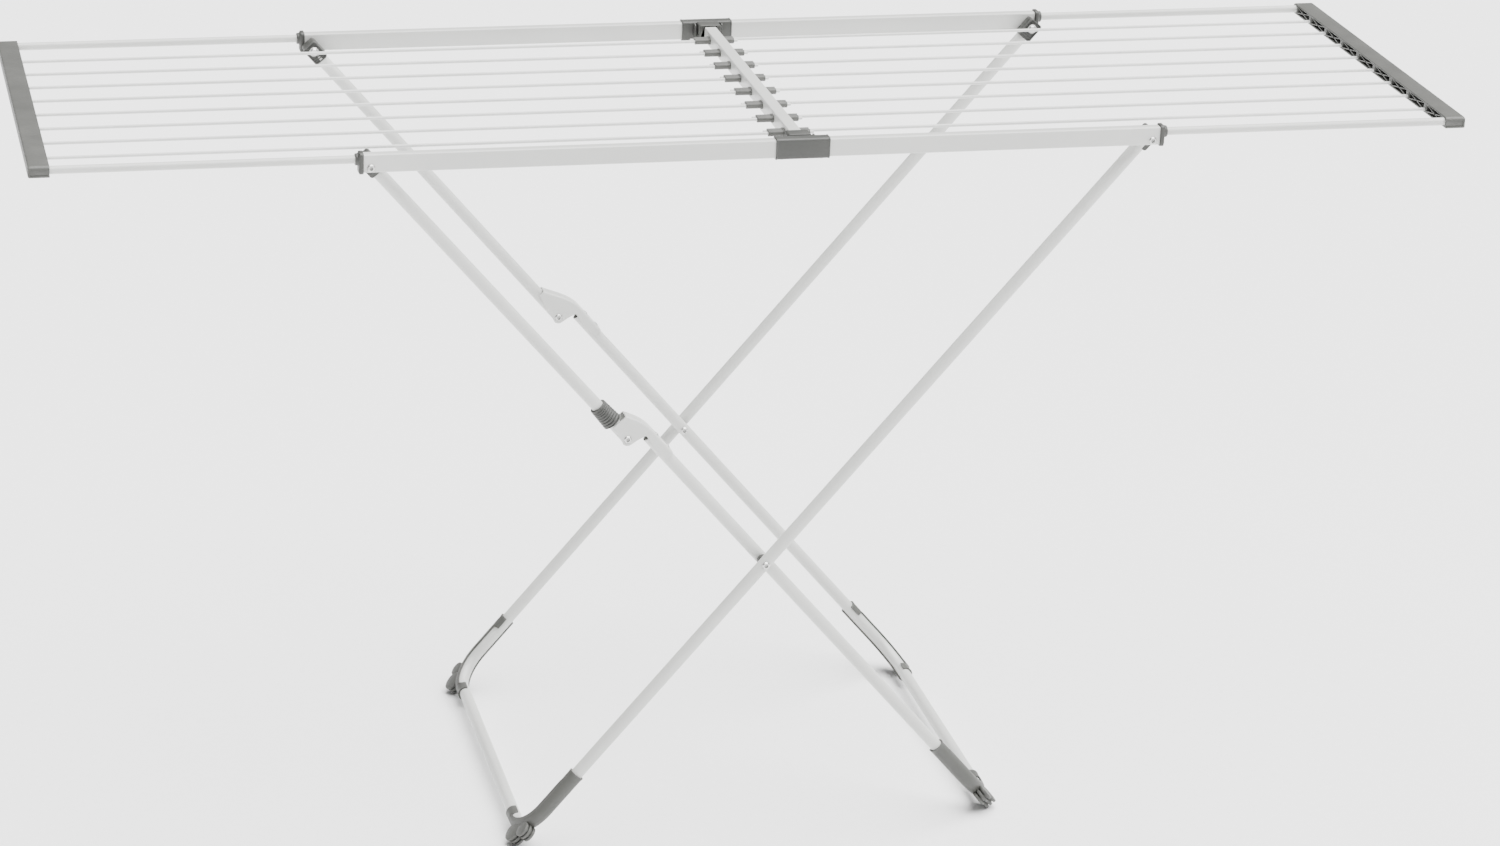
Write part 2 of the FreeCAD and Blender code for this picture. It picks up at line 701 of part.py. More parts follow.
def save_wing(name, flip, rod_side, rod_inner_x):
    """Write every node of one wing; flip puts the right wing's shapes on the left."""
    place = mirrored_x if flip else (lambda shape: shape)
    rod_ys = [y + rod_side * bore_pitch / 2 for y in rod_places()]
    rods = [wing_rod(y, rod_inner_x) for y in rod_ys]
    tubes = [wing_tube(-1), wing_tube(1)]
    solid_ends = [rod(V(end_bar_inner_x, side * rail_mid_y, tube_z),
                      V(end_bar_inner_x + socket_depth, side * rail_mid_y, tube_z), wing_tube_radius)
                  for side in (-1, 1)]
    save(name + "_wing_end_bar", place(end_bar(rod_ys, rods, solid_ends)))
    save(name + "_wing_near_tube", place(tubes[0]))
    save(name + "_wing_far_tube", place(tubes[1]))
    save(name + "_wing_sliders", place(slider(-1)), place(slider(1)))
    for number, shape in enumerate(rods, start=1):
        save(name + "_wing_rod_" + str(number), place(shape))


def save_table():
    """Write the rails, their caps, the middle bar and all that is fixed to them."""
    rivets = saddle_rivets()
    far_rail = drilled_for(rail(), rivets)
    far_saddle = drilled_for(saddle(), rivets)
    cap = rail_cap()
    save("far_rail", far_rail)
    save("near_rail", mirrored(far_rail))
    save("far_right_rail_cap", cap)
    save("near_right_rail_cap", mirrored(cap))
    save("far_left_rail_cap", mirrored_x(cap))
    save("near_left_rail_cap", mirrored(mirrored_x(cap)))
    save("middle_bar", middle_bar())
    save("rod_guides", *[rod_guide(y) for y in rod_places()])
    save("far_bar_saddle", far_saddle)
    save("near_bar_saddle", mirrored(far_saddle))
    save("saddle_rivets", *(rivets + [mirrored(r) for r in rivets]))


def save_pivots():
    """Write the bolts and washers of the four leg pivots."""
    half = leg_radius + fitting_wall
    seats = [("inner", left_pivot, upper_leg_top_y - half), ("outer", right_pivot, outer_frame_y - half)]
    for name, pivot, inner_y in seats:
        bolt = pivot_bolt(pivot, inner_y)
        washer = pivot_washer(pivot, inner_y)
        save(name + "_leg_pivot_bolts", bolt, mirrored(bolt))
        save(name + "_leg_pivot_washers", washer, mirrored(washer))


def save_outer_frame():
    """Write the outer leg frame, its fittings, foot clips and crossing rivets."""
    rivet = crossing_rivet()
    frame = frame_tube(right_pivot, outer_down, outer_length, outer_frame_y, tube_seat)
    frame = drilled_for(frame, [rivet, mirrored(rivet)])
    tube_top = at_y(right_pivot + outer_down * tube_seat, outer_frame_y)
    fitting = leg_fitting(right_pivot, outer_down, outer_frame_y, tube_top, outer_down)
    clip = foot_clip(right_pivot, outer_down, outer_length, outer_frame_y)
    spacer = crossing_spacer()
    save("outer_leg_frame", frame)
    save("far_outer_leg_fitting", fitting)
    save("near_outer_leg_fitting", mirrored(fitting))
    save("far_outer_foot_clip", clip)
    save("near_outer_foot_clip", mirrored(clip))
    save("crossing_rivets", rivet, mirrored(rivet))
    save("crossing_spacers", spacer, mirrored(spacer))


def save_upper_legs():
    """Write the two upper legs of the inner frame, their fittings and the lock collar."""
    leg = upper_leg_tube()
    top, _, along = upper_leg_ends()
    fitting = leg_fitting(left_pivot, inner_down, upper_leg_top_y, top, along)
    save("far_upper_leg", leg)
    save("near_upper_leg", mirrored(leg))
    save("far_upper_leg_fitting", fitting)
    save("near_upper_leg_fitting", mirrored(fitting))
    save("lock_collar", lock_collar())


def save_inner_frame():
    """Write the lower part of the inner frame with its knee brackets and foot clips."""
    rivet = crossing_end()
    fixings = bracket_rivets()
    both_sides = [rivet, mirrored(rivet)] + fixings + [mirrored(f) for f in fixings]
    frame = frame_tube(lower_origin, inner_down, lower_length, inner_frame_y, lower_tube_start)
    frame = drilled_for(frame, both_sides)
    clip = foot_clip(lower_origin, inner_down, lower_length, inner_frame_y)
    pin = knee_pin()
    save("inner_leg_frame", frame)
    save("far_knee_bracket", drilled_for(knee_bracket(bracket_upper_end), fixings))
    save("near_knee_bracket", mirrored(drilled_for(knee_bracket(bracket_short_end), fixings)))
    save("knee_pins", pin, mirrored(pin))
    save("knee_bracket_rivets", *(fixings + [mirrored(f) for f in fixings]))
    save("far_inner_foot_clip", clip)
    save("near_inner_foot_clip", mirrored(clip))
    save("crossing_rivet_ends", rivet, mirrored(rivet))


os.makedirs("parts", exist_ok=True)
guide_low_x = bar_x - bar_width / 2 - guide_left
guide_high_x = bar_x + bar_width / 2 + guide_right
save_table()
save_pivots()
save_outer_frame()
save_upper_legs()
save_inner_frame()
save_wing("right", False, 1, guide_low_x - rod_tip)
save_wing("left", True, -1, -guide_high_x - rod_tip)
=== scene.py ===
"""Extendable clothes drying rack on folding crossed legs: meshes, finishes and studio.

Lengths inside the classes are millimetres in the rack's own frame: X along the table, Y across
it, Z up from the floor.  A piece is turned into metres when its mesh is made.
"""

import json
import logging
import math
from dataclasses import dataclass, field
from enum import Enum
from typing import Iterable, Sequence

import bpy
import numpy as np
from mathutils import Matrix, Vector
from numpy.typing import NDArray


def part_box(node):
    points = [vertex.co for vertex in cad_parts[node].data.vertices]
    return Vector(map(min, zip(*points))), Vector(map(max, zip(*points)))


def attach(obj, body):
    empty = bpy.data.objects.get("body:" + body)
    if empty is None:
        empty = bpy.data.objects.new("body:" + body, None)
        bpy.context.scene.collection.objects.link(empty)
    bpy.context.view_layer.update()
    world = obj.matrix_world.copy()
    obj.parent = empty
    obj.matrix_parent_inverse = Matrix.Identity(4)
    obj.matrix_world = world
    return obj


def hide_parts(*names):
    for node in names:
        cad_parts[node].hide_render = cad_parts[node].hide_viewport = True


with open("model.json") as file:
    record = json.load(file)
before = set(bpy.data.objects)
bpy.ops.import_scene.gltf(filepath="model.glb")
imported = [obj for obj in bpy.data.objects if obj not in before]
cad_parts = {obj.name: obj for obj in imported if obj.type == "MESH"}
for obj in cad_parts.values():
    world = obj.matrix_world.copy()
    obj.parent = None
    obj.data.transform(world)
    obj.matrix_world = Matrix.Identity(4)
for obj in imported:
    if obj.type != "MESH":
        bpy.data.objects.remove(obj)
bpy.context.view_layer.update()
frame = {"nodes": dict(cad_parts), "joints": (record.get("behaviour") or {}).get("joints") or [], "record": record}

Array = NDArray[np.float64]
Socket = bpy.types.NodeSocket

LOG = logging.getLogger("drying_rack")
MM = 0.001
X_AXIS, Y_AXIS, Z_AXIS = np.eye(3)
ROD_NUMBERS = range(1, 9)


class Side(Enum):
    """The two long sides of the rack; the value is the sign of Y."""

    NEAR = -1
    FAR = 1

    @property
    def word(self) -> str:
        """The side's name as the nodes spell it."""
        return self.name.lower()


class End(Enum):
    """The two ends of the rack; the value is the sign of X."""

    LEFT = -1
    RIGHT = 1

    @property
    def word(self) -> str:
        """The end's name as the nodes spell it."""
        return self.name.lower()


class Finish(Enum):
    """What a piece is made of; the value is its material slot."""

    WHITE_STEEL = "white_steel"
    COATED_WIRE = "coated_wire"
    GREY_PLASTIC = "grey_plastic"
    DARK_PLASTIC = "dark_plastic"
    ZINC_STEEL = "zinc_steel"


# ---- shells: closed surfaces as whole arrays
@dataclass
class Shell:
    """A closed surface: its points, and blocks of faces whose rows are point numbers."""

    points: Array
    faces: list[NDArray[np.int64]]

    def volume(self) -> float:
        """Sum the signed volumes of the wedges between the origin and each face's fan.

        Returns:
            The enclosed volume, negative when the faces point inwards.
        """
        centred = self.points - self.points.mean(axis=0)
        total = 0.0
        for block in self.faces:
            corners = centred[block]
            first = corners[:, 0]
            for k in range(1, block.shape[1] - 1):
                cross = np.cross(corners[:, k], corners[:, k + 1])
                total += float(np.einsum("ij,ij->i", first, cross).sum())
        return total / 6.0

    def outward(self) -> "Shell":
        """The same surface with its faces pointing outwards."""
        if self.volume() >= 0.0:
            return self
        return Shell(self.points, [block[:, ::-1] for block in self.faces])

    def above(self, height: float) -> "Shell":
        """The surface pressed flat where it would reach below a height."""
        points = self.points.copy()
        points[:, 2] = np.maximum(points[:, 2], height)
        return Shell(points, self.faces)

    def mirrored(self, axis: int) -> "Shell":
        """The surface on the other side of the plane through the origin across an axis."""
        points = self.points.copy()
        points[:, axis] *= -1.0
        return Shell(points, self.faces)


def both_sides(far: list[Shell]) -> list[Shell]:
    """The far shells and their mirror images."""
    return far + [shell.mirrored(1) for shell in far]


def on_side(far: list[Shell], side: Side) -> list[Shell]:
    """The far shells, or their mirror images on the near side."""
    return far if side is Side.FAR else [shell.mirrored(1) for shell in far]


def lattice(points: Array, wrap_rows: bool, cap_ends: bool) -> Shell:
    """Join a grid of points with four-sided faces; each row is a closed ring.

    Args:
        points: Grid of points, rows by columns by three.
        wrap_rows: Join the last ring to the first, as round a hollow wall.
        cap_ends: Close the first and last ring with one face each.

    Returns:
        The closed shell, pointing outwards.
    """
    rows, columns = points.shape[:2]
    index = np.arange(rows * columns).reshape(rows, columns)
    last = rows if wrap_rows else rows - 1
    here = index[np.arange(last)]
    after = index[(np.arange(last) + 1) % rows]
    quads = np.stack([here, np.roll(here, -1, axis=1), np.roll(after, -1, axis=1), after], axis=-1)
    faces = [quads.reshape(-1, 4)]
    if cap_ends:
        faces += [index[:1, ::-1], index[-1:]]
    return Shell(points.reshape(-1, 3), faces).outward()


def unit(vector: Array) -> Array:
    """The vectors at length one."""
    return vector / np.linalg.norm(vector, axis=-1, keepdims=True)


@dataclass
class Stations:
    """Places along a path, each with the two directions its section is drawn in."""

    origin: Array
    across: Array
    up: Array

    def carry(self, section: Array) -> Array:
        """Draw a section at every place: origin + first value x across + second value x up.

        Args:
            section: Points of the section, (points, 2) or (places, points, 2).

        Returns:
            Grid of points, places by section points by three.
        """
        section = np.broadcast_to(section, (len(self.origin),) + section.shape[-2:])
        return (self.origin[:, None] + section[..., :1] * self.across[:, None]
                + section[..., 1:] * self.up[:, None])


def straight(start: Array, end: Array, across: Array, stops: Sequence[float] = (0.0, 1.0)) -> Stations:
    """Places on a straight line at the given shares of its length.

    Args:
        start: First end of the line.
        end: Other end of the line.
        across: Direction of a section's first value, roughly square to the line.
        stops: Shares of the length.

    Returns:
        The places, with square directions.
    """
    along = unit(end - start)
    side = unit(across - along * np.dot(across, along))
    share = np.asarray(stops, float)[:, None]
    origin = start + (end - start) * share
    ones = np.ones_like(origin)
    return Stations(origin, side * ones, np.cross(along, side) * ones)


def circle(radius: float, points: int = 32, phase: float = 0.0) -> Array:
    """A ring of points: radius times the cosine and sine of even turns."""
    turn = phase + np.arange(points) * (2 * math.pi / points)
    return radius * np.stack([np.cos(turn), np.sin(turn)], axis=-1)


def rounded_box(width: float, height: float, radius: float, steps: int = 6,
                centre: tuple[float, float] = (0.0, 0.0)) -> Array:
    """A rectangle with round corners: a quarter circle about each inset corner.

    Args:
        width: Size along the first axis.
        height: Size along the second axis.
        radius: Corner radius.
        steps: Points in each corner, less one.
        centre: Middle of the rectangle.

    Returns:
        The outline, counter-clockwise.
    """
    quarter = np.linspace(0.0, math.pi / 2, steps + 1)
    corners = []
    for k, (sx, sy) in enumerate(((1, 1), (-1, 1), (-1, -1), (1, -1))):
        turn = quarter + k * math.pi / 2
        middle = np.array([sx * (width / 2 - radius), sy * (height / 2 - radius)])
        corners.append(middle + radius * np.stack([np.cos(turn), np.sin(turn)], axis=-1))
    return np.concatenate(corners) + np.asarray(centre)


def rounded_path(corners: Sequence[tuple[float, float, float]], steps: int = 5,
                 closed: bool = True) -> Array:
    """Round a polygon's corners: each is swapped for an arc that touches both its sides.

    Args:
        corners: Rows of first value, second value and corner radius.
        steps: Points in each arc, less one.
        closed: Whether the last corner joins the first.

    Returns:
        The rounded line.
    """
    rows = np.asarray(corners, float)
    line = []
    for i, (x, y, radius) in enumerate(rows):
        here = np.array([x, y])
        ends = not closed and i in (0, len(rows) - 1)
        if radius <= 0 or ends:
            line.append(here[None])
            continue
        before = unit(rows[i - 1, :2] - here)
        after = unit(rows[(i + 1) % len(rows), :2] - here)
        half = math.acos(float(np.clip(np.dot(before, after), -1, 1))) / 2
        reach = radius / math.tan(half)
        middle = here + unit(before + after) * (radius / math.sin(half))
        first = here + before * reach - middle
        last = here + after * reach - middle
        share = np.linspace(0.0, 1.0, steps + 1)[:, None]
        spread = math.pi - 2 * half
        turned = (first * np.sin((1 - share) * spread) + last * np.sin(share * spread)) / math.sin(spread)
        line.append(middle + turned)
    return np.concatenate(line)


def inset(outline: Array, distance: float) -> Array:
    """Move each point of a counter-clockwise outline inwards along the mean of its sides' normals.

    Args:
        outline: Closed outline, (points, 2).
        distance: How far to move.

    Returns:
        The smaller outline with the same number of points.
    """
    ahead = unit(np.roll(outline, -1, axis=0) - outline)
    behind = np.roll(ahead, 1, axis=0)
    normal = np.stack([-(ahead + behind)[:, 1], (ahead + behind)[:, 0]], axis=-1)
    length = np.maximum(np.linalg.norm(normal, axis=1, keepdims=True), 0.6)
    return outline + normal / length * distance * (2 / length).clip(1.0, 1.6)


def counter_clockwise(outline: Array) -> Array:
    """The outline, turned round if its signed area is negative."""
    after = np.roll(outline, -1, axis=0)
    area = float((outline[:, 0] * after[:, 1] - outline[:, 1] * after[:, 0]).sum())
    return outline if area > 0 else outline[::-1]


@dataclass
class Plane:
    """A place to draw in: an origin and three directions, the last one square to the drawing."""

    origin: Array
    first: Array
    second: Array
    depth: Array

    def put(self, flat: Array, height: float) -> Array:
        """Points of a flat drawing lifted to a height above the plane."""
        return (self.origin + flat[:, :1] * self.first + flat[:, 1:] * self.second
                + height * self.depth)


def edge_rings(outline: Array, low: float, high: float, bevel: float, plane: Plane) -> list[Array]:
    """A plate's outside rings: outlines shrink by bevel x (1 - sine) as height nears a face."""
    turn = np.linspace(0.0, math.pi / 2, 4)
    rise = bevel * (1 - np.cos(turn))
    shrink = bevel * (1 - np.sin(turn))
    rings = [plane.put(inset(outline, s), low + r) for s, r in zip(shrink, rise)]
    return rings + [plane.put(inset(outline, s), high - r) for s, r in zip(shrink[::-1], rise[::-1])]


def slab(outline: Array, low: float, high: float, bevel: float, plane: Plane) -> Shell:
    """A plate with round edges, made of its outside rings.

    Args:
        outline: Closed outline of the plate, (points, 2).
        low: Height of the first face.
        high: Height of the second face.
        bevel: Radius of the round edge.
        plane: Where the outline is drawn.

    Returns:
        The closed plate.
    """
    return lattice(np.stack(edge_rings(counter_clockwise(outline), low, high, bevel, plane)), False, True)


def rim(outline: Array, wall: float, low: float, high: float, ease: float, plane: Plane) -> Shell:
    """A raised rim: its ring runs down the outline, over the edge and up inside by the wall.

    Args:
        outline: Closed outline of the rim's outside.
        wall: Thickness of the rim.
        low: Height of its free edge.
        high: Height where it grows out of the piece.
        ease: Size of the broken corners on the free edge.
        plane: Where the outline is drawn.

    Returns:
        The closed ring.
    """
    outline = counter_clockwise(outline)
    rows = ((0.0, high), (0.0, low + ease), (ease, low), (wall - ease, low), (wall, low + ease), (wall, high))
    return lattice(np.stack([plane.put(inset(outline, s), h) for s, h in rows]), True, False)


def by_angle(outline: Array, centre: tuple[float, float], points: int) -> Array:
    """Read an outline again at even angles round a centre, so that it pairs with a circle.

    Args:
        outline: Closed outline that every ray from the centre meets once.
        centre: Middle of the rays.
        points: Number of rays.

    Returns:
        The outline's points on the rays.
    """
    dense = np.concatenate([outline, outline[:1]])
    share = np.linspace(0.0, 1.0, 24, endpoint=False)[:, None, None]
    dense = (dense[:-1] * (1 - share) + dense[1:] * share).transpose(1, 0, 2).reshape(-1, 2)
    away = dense - np.asarray(centre)
    angle = np.arctan2(away[:, 1], away[:, 0])
    order = np.argsort(angle)
    rays = np.arange(points) * (2 * math.pi / points) - math.pi
    reach = np.interp(rays, angle[order], np.hypot(away[:, 0], away[:, 1])[order], period=2 * math.pi)
    return np.asarray(centre) + reach[:, None] * np.stack([np.cos(rays), np.sin(rays)], axis=-1)


def bored_slab(outline: Array, centre: tuple[float, float], bore: float, low: float, high: float,
               bevel: float, plane: Plane, points: int = 48) -> Shell:
    """A plate with a round hole: its outside rings run up, over and back down the bore.

    Args:
        outline: Closed outline of the plate.
        centre: Middle of the hole.
        bore: Radius of the hole.
        low: Height of the first face.
        high: Height of the second face.
        bevel: Radius of the outer edges.
        plane: Where the outline is drawn.
        points: Number of rays round the hole.

    Returns:
        The closed plate.
    """
    outside = by_angle(counter_clockwise(outline), centre, points)
    hole = by_angle(circle(bore, 64) + np.asarray(centre), centre, points)
    rings = edge_rings(outside, low, high, bevel, plane)
    ease = 0.25 * bevel
    wide = (hole - np.asarray(centre)) * (1 + ease / bore) + np.asarray(centre)
    rings += [plane.put(wide, high), plane.put(hole, high - ease)]
    rings += [plane.put(hole, low + ease), plane.put(wide, low)]
    return lattice(np.stack(rings), True, False)


def lathe(profile: Sequence[tuple[float, float]], foot: Array, axis: Array, points: int = 32,
          hollow: bool = False) -> Shell:
    """Turn a profile about an axis: radius sets the ring's size, height moves it up the axis.

    Args:
        profile: Rows of radius and height; a solid one starts and ends near the axis.
        foot: Point of the axis at height zero.
        axis: Direction of the axis.
        points: Points in each ring.
        hollow: Whether the profile closes on itself and leaves a hole.

    Returns:
        The closed shell.
    """
    axis = unit(np.asarray(axis, float))
    helper = Z_AXIS if abs(axis[2]) < 0.9 else X_AXIS
    side = unit(np.cross(axis, helper))
    other = np.cross(axis, side)
    rows = np.asarray(profile, float)
    ring = circle(1.0, points)
    around = ring[:, :1] * side + ring[:, 1:] * other
    grid = foot + rows[:, 1, None, None] * axis + rows[:, 0, None, None] * around[None]
    return lattice(grid, hollow, not hollow)


def dome(radius: float, height: float, steps: int = 6) -> list[tuple[float, float]]:
    """A rivet head's profile: a quarter ellipse from its rim to just short of the axis."""
    turn = np.linspace(0.0, math.pi / 2 * 0.94, steps + 1)
    return list(zip((radius * np.cos(turn)).tolist(), (height * np.sin(turn)).tolist()))


def hollow_run(outer: Array, inner: Array, stations: Stations) -> Shell:
    """A hollow wall along a path: outer rings go out, inner rings come back.

    Args:
        outer: Outline of the outside.
        inner: Outline of the inside, with as many points.
        stations: The path.

    Returns:
        The closed wall.
    """
    rings = np.concatenate([stations.carry(outer), stations.carry(inner)[::-1]])
    return lattice(rings, True, False)


def round_bar(start: Array, end: Array, radius: float, chamfer: float = 0.4, points: int = 24) -> Shell:
    """A round bar between two points with a small chamfer at each end."""
    length = float(np.linalg.norm(end - start))
    profile = [(radius - chamfer, 0.0), (radius, chamfer), (radius, length - chamfer),
               (radius - chamfer, length)]
    return lathe(profile, start, end - start, points)


# ---- measures taken from the frame
def node_box(name: str) -> tuple[Array, Array]:
    """A node's lowest and highest corner in millimetres."""
    low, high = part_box(name)
    return np.array(low) / MM, np.array(high) / MM


def box_run(name: str, axis: int = 0) -> tuple[Array, Array]:
    """Both ends of a node's middle line along an axis, in millimetres."""
    low, high = node_box(name)
    start, end = (low + high) / 2, (low + high) / 2
    start[axis], end[axis] = low[axis], high[axis]
    return start, end


def joint_point(name: str) -> Array:
    """A joint's centre in millimetres, moved to the middle plane of the rack."""
    joint = next(j for j in frame["joints"] if j["name"] == name)
    point = np.array(joint["pos_m"], float) / MM
    point[1] = 0.0
    return point


# ---- node groups and finishes
class NodeSheet:
    """A short way to add nodes to a tree and join them."""

    def __init__(self, tree: bpy.types.NodeTree) -> None:
        """Keep the tree that nodes are added to."""
        self.tree = tree

    def add(self, kind: str, values: dict[str, object] | None = None, **settings: object) -> bpy.types.Node:
        """Add a node, set its properties and its input values, and join sockets given as values.

        Args:
            kind: The node's type.
            values: Input names with a constant or an output socket each.
            **settings: Properties of the node.

        Returns:
            The new node.
        """
        node = self.tree.nodes.new(kind)
        for name, value in settings.items():
            setattr(node, name, value)
        for name, value in (values or {}).items():
            target = node.inputs[int(name)] if name.isdigit() else node.inputs[name]
            if isinstance(value, bpy.types.NodeSocket):
                self.tree.links.new(value, target)
            else:
                target.default_value = value
        return node

    def maths(self, operation: str, first: object, second: object = 0.0) -> Socket:
        """One Math node's result."""
        node = self.add("ShaderNodeMath", {"0": first, "1": second}, operation=operation)
        return node.outputs[0]

    def noise(self, where: Socket, scale: float, detail: float, rough: float = 0.5) -> Socket:
        """Smooth noise of a given scale, read at a position."""
        node = self.add("ShaderNodeTexNoise", {"Vector": where, "Scale": scale, "Detail": detail,
                                               "Roughness": rough})
        return node.outputs["Fac"]

    def ramp(self, value: Socket, low: float, high: float) -> Socket:
        """The value stretched so that low becomes 0 and high becomes 1, and held between them."""
        node = self.add("ShaderNodeMapRange", {"Value": value, "From Min": low, "From Max": high})
        return node.outputs["Result"]

    def mix(self, share: object, first: object, second: object) -> Socket:
        """Two colours mixed by a share."""
        node = self.add("ShaderNodeMix", {"0": share, "6": first, "7": second}, data_type="RGBA")
        return node.outputs[2]


def blank_material(name: str) -> tuple[bpy.types.Material, NodeSheet]:
    """A new material with an empty tree, and a sheet to draw it on."""
    material = bpy.data.materials.new(name)
    material.use_nodes = True
    material.node_tree.nodes.clear()
    return material, NodeSheet(material.node_tree)


class SharedEffects:
    """The node groups that several finishes use, each built once."""

    def __init__(self) -> None:
        """Build the groups."""
        self.grain = self.make_grain()
        # pointed edges lightened: a painted edge highlight mixed with scuffing
        self.rubbed_edge = self.make_rubbed_edge()
        self.mottle = self.make_mottle()
        self.dust = self.make_dust()

    @staticmethod
    def group(name: str, inputs: Sequence[tuple[str, str, object]],
              outputs: Sequence[tuple[str, str]]) -> tuple[bpy.types.NodeTree, NodeSheet, bpy.types.Node]:
        """Start a node group with named sockets.

        Args:
            name: The group's name.
            inputs: Rows of socket name, socket type and default value.
            outputs: Rows of socket name and socket type.

        Returns:
            The group, a sheet to draw on and its input node.
        """
        tree = bpy.data.node_groups.new(name, "ShaderNodeTree")
        for label, kind, value in inputs:
            socket = tree.interface.new_socket(label, in_out="INPUT", socket_type=kind)
            socket.default_value = value
        for label, kind in outputs:
            tree.interface.new_socket(label, in_out="OUTPUT", socket_type=kind)
        return tree, NodeSheet(tree), tree.nodes.new("NodeGroupInput")

    def make_grain(self) -> bpy.types.NodeTree:
        """Fine skin of a coating or mould: two noises raise the surface and vary the gloss."""
        tree, sheet, given = self.group(
            "surface_grain",
            [("Scale", "NodeSocketFloat", 900.0), ("Depth", "NodeSocketFloat", 0.1)],
            [("Normal", "NodeSocketVector"), ("Mask", "NodeSocketFloat")])
        place = sheet.add("ShaderNodeTexCoord").outputs["Object"]
        fine = sheet.add("ShaderNodeTexNoise", {"Vector": place, "Scale": given.outputs["Scale"],
                                                "Detail": 3.0}).outputs["Fac"]
        broad_scale = sheet.maths("MULTIPLY", given.outputs["Scale"], 0.22)
        broad = sheet.add("ShaderNodeTexNoise", {"Vector": place, "Scale": broad_scale,
                                                 "Detail": 2.0}).outputs["Fac"]
        height = sheet.maths("ADD", sheet.maths("MULTIPLY", fine, 0.6), sheet.maths("MULTIPLY", broad, 0.4))
        bump = sheet.add("ShaderNodeBump", {"Height": height, "Strength": given.outputs["Depth"],
                                            "Distance": 0.0004})
        sheet.add("NodeGroupOutput", {"Normal": bump.outputs["Normal"], "Mask": broad})
        return tree

    def make_rubbed_edge(self) -> bpy.types.NodeTree:
        """Edges lightened where pointed, broken up by noise: partly polished by handling, partly a painted edge
        highlight.
        """
        tree, sheet, given = self.group(
            "rubbed_edge", [("Amount", "NodeSocketFloat", 0.5)], [("Mask", "NodeSocketFloat")])
        point = sheet.add("ShaderNodeNewGeometry").outputs["Pointiness"]
        place = sheet.add("ShaderNodeTexCoord").outputs["Object"]
        edge = sheet.ramp(point, 0.52, 0.62)
        broken = sheet.ramp(sheet.noise(place, 60.0, 3.0), 0.3, 0.65)
        # mask of the painted edge highlight, partly scuffing
        mask = sheet.maths("MULTIPLY", sheet.maths("MULTIPLY", edge, broken), given.outputs["Amount"])
        sheet.add("NodeGroupOutput", {"Mask": mask})
        return tree

    def make_mottle(self) -> bpy.types.NodeTree:
        """Slow drift between two close colours, with small specks of the second."""
        tree, sheet, given = self.group(
            "colour_mottle",
            [("First", "NodeSocketColor", (0.8, 0.8, 0.8, 1.0)),
             ("Second", "NodeSocketColor", (0.7, 0.7, 0.7, 1.0)),
             ("Scale", "NodeSocketFloat", 8.0), ("Specks", "NodeSocketFloat", 0.1)],
            [("Color", "NodeSocketColor")])
        place = sheet.add("ShaderNodeTexCoord").outputs["Object"]
        slow = sheet.add("ShaderNodeTexNoise", {"Vector": place, "Scale": given.outputs["Scale"],
                                                "Detail": 4.0}).outputs["Fac"]
        drift = sheet.ramp(slow, 0.35, 0.7)
        speck = sheet.ramp(sheet.noise(place, 700.0, 1.0), 0.66, 0.74)
        share = sheet.maths("MAXIMUM", drift, sheet.maths("MULTIPLY", speck, given.outputs["Specks"]))
        colour = sheet.mix(share, given.outputs["First"], given.outputs["Second"])
        sheet.add("NodeGroupOutput", {"Color": colour})
        return tree

    def make_dust(self) -> bpy.types.NodeTree:
        """Fine dust on what faces up: the normal's height times broken noise."""
        tree, sheet, given = self.group(
            "settled_dust", [("Amount", "NodeSocketFloat", 0.1)], [("Mask", "NodeSocketFloat")])
        normal = sheet.add("ShaderNodeNewGeometry").outputs["Normal"]
        height = sheet.add("ShaderNodeSeparateXYZ", {"0": normal}).outputs["Z"]
        place = sheet.add("ShaderNodeTexCoord").outputs["Object"]
        broken = sheet.ramp(sheet.noise(place, 25.0, 5.0, 0.7), 0.35, 0.75)
        mask = sheet.maths("MULTIPLY", sheet.ramp(height, 0.3, 1.0), broken)
        sheet.add("NodeGroupOutput", {"Mask": sheet.maths("MULTIPLY", mask, given.outputs["Amount"])})
        return tree


Colour = tuple[float, float, float]


def opaque(colour: Colour) -> tuple[float, float, float, float]:
    """A colour with full alpha."""
    return (*colour, 1.0)


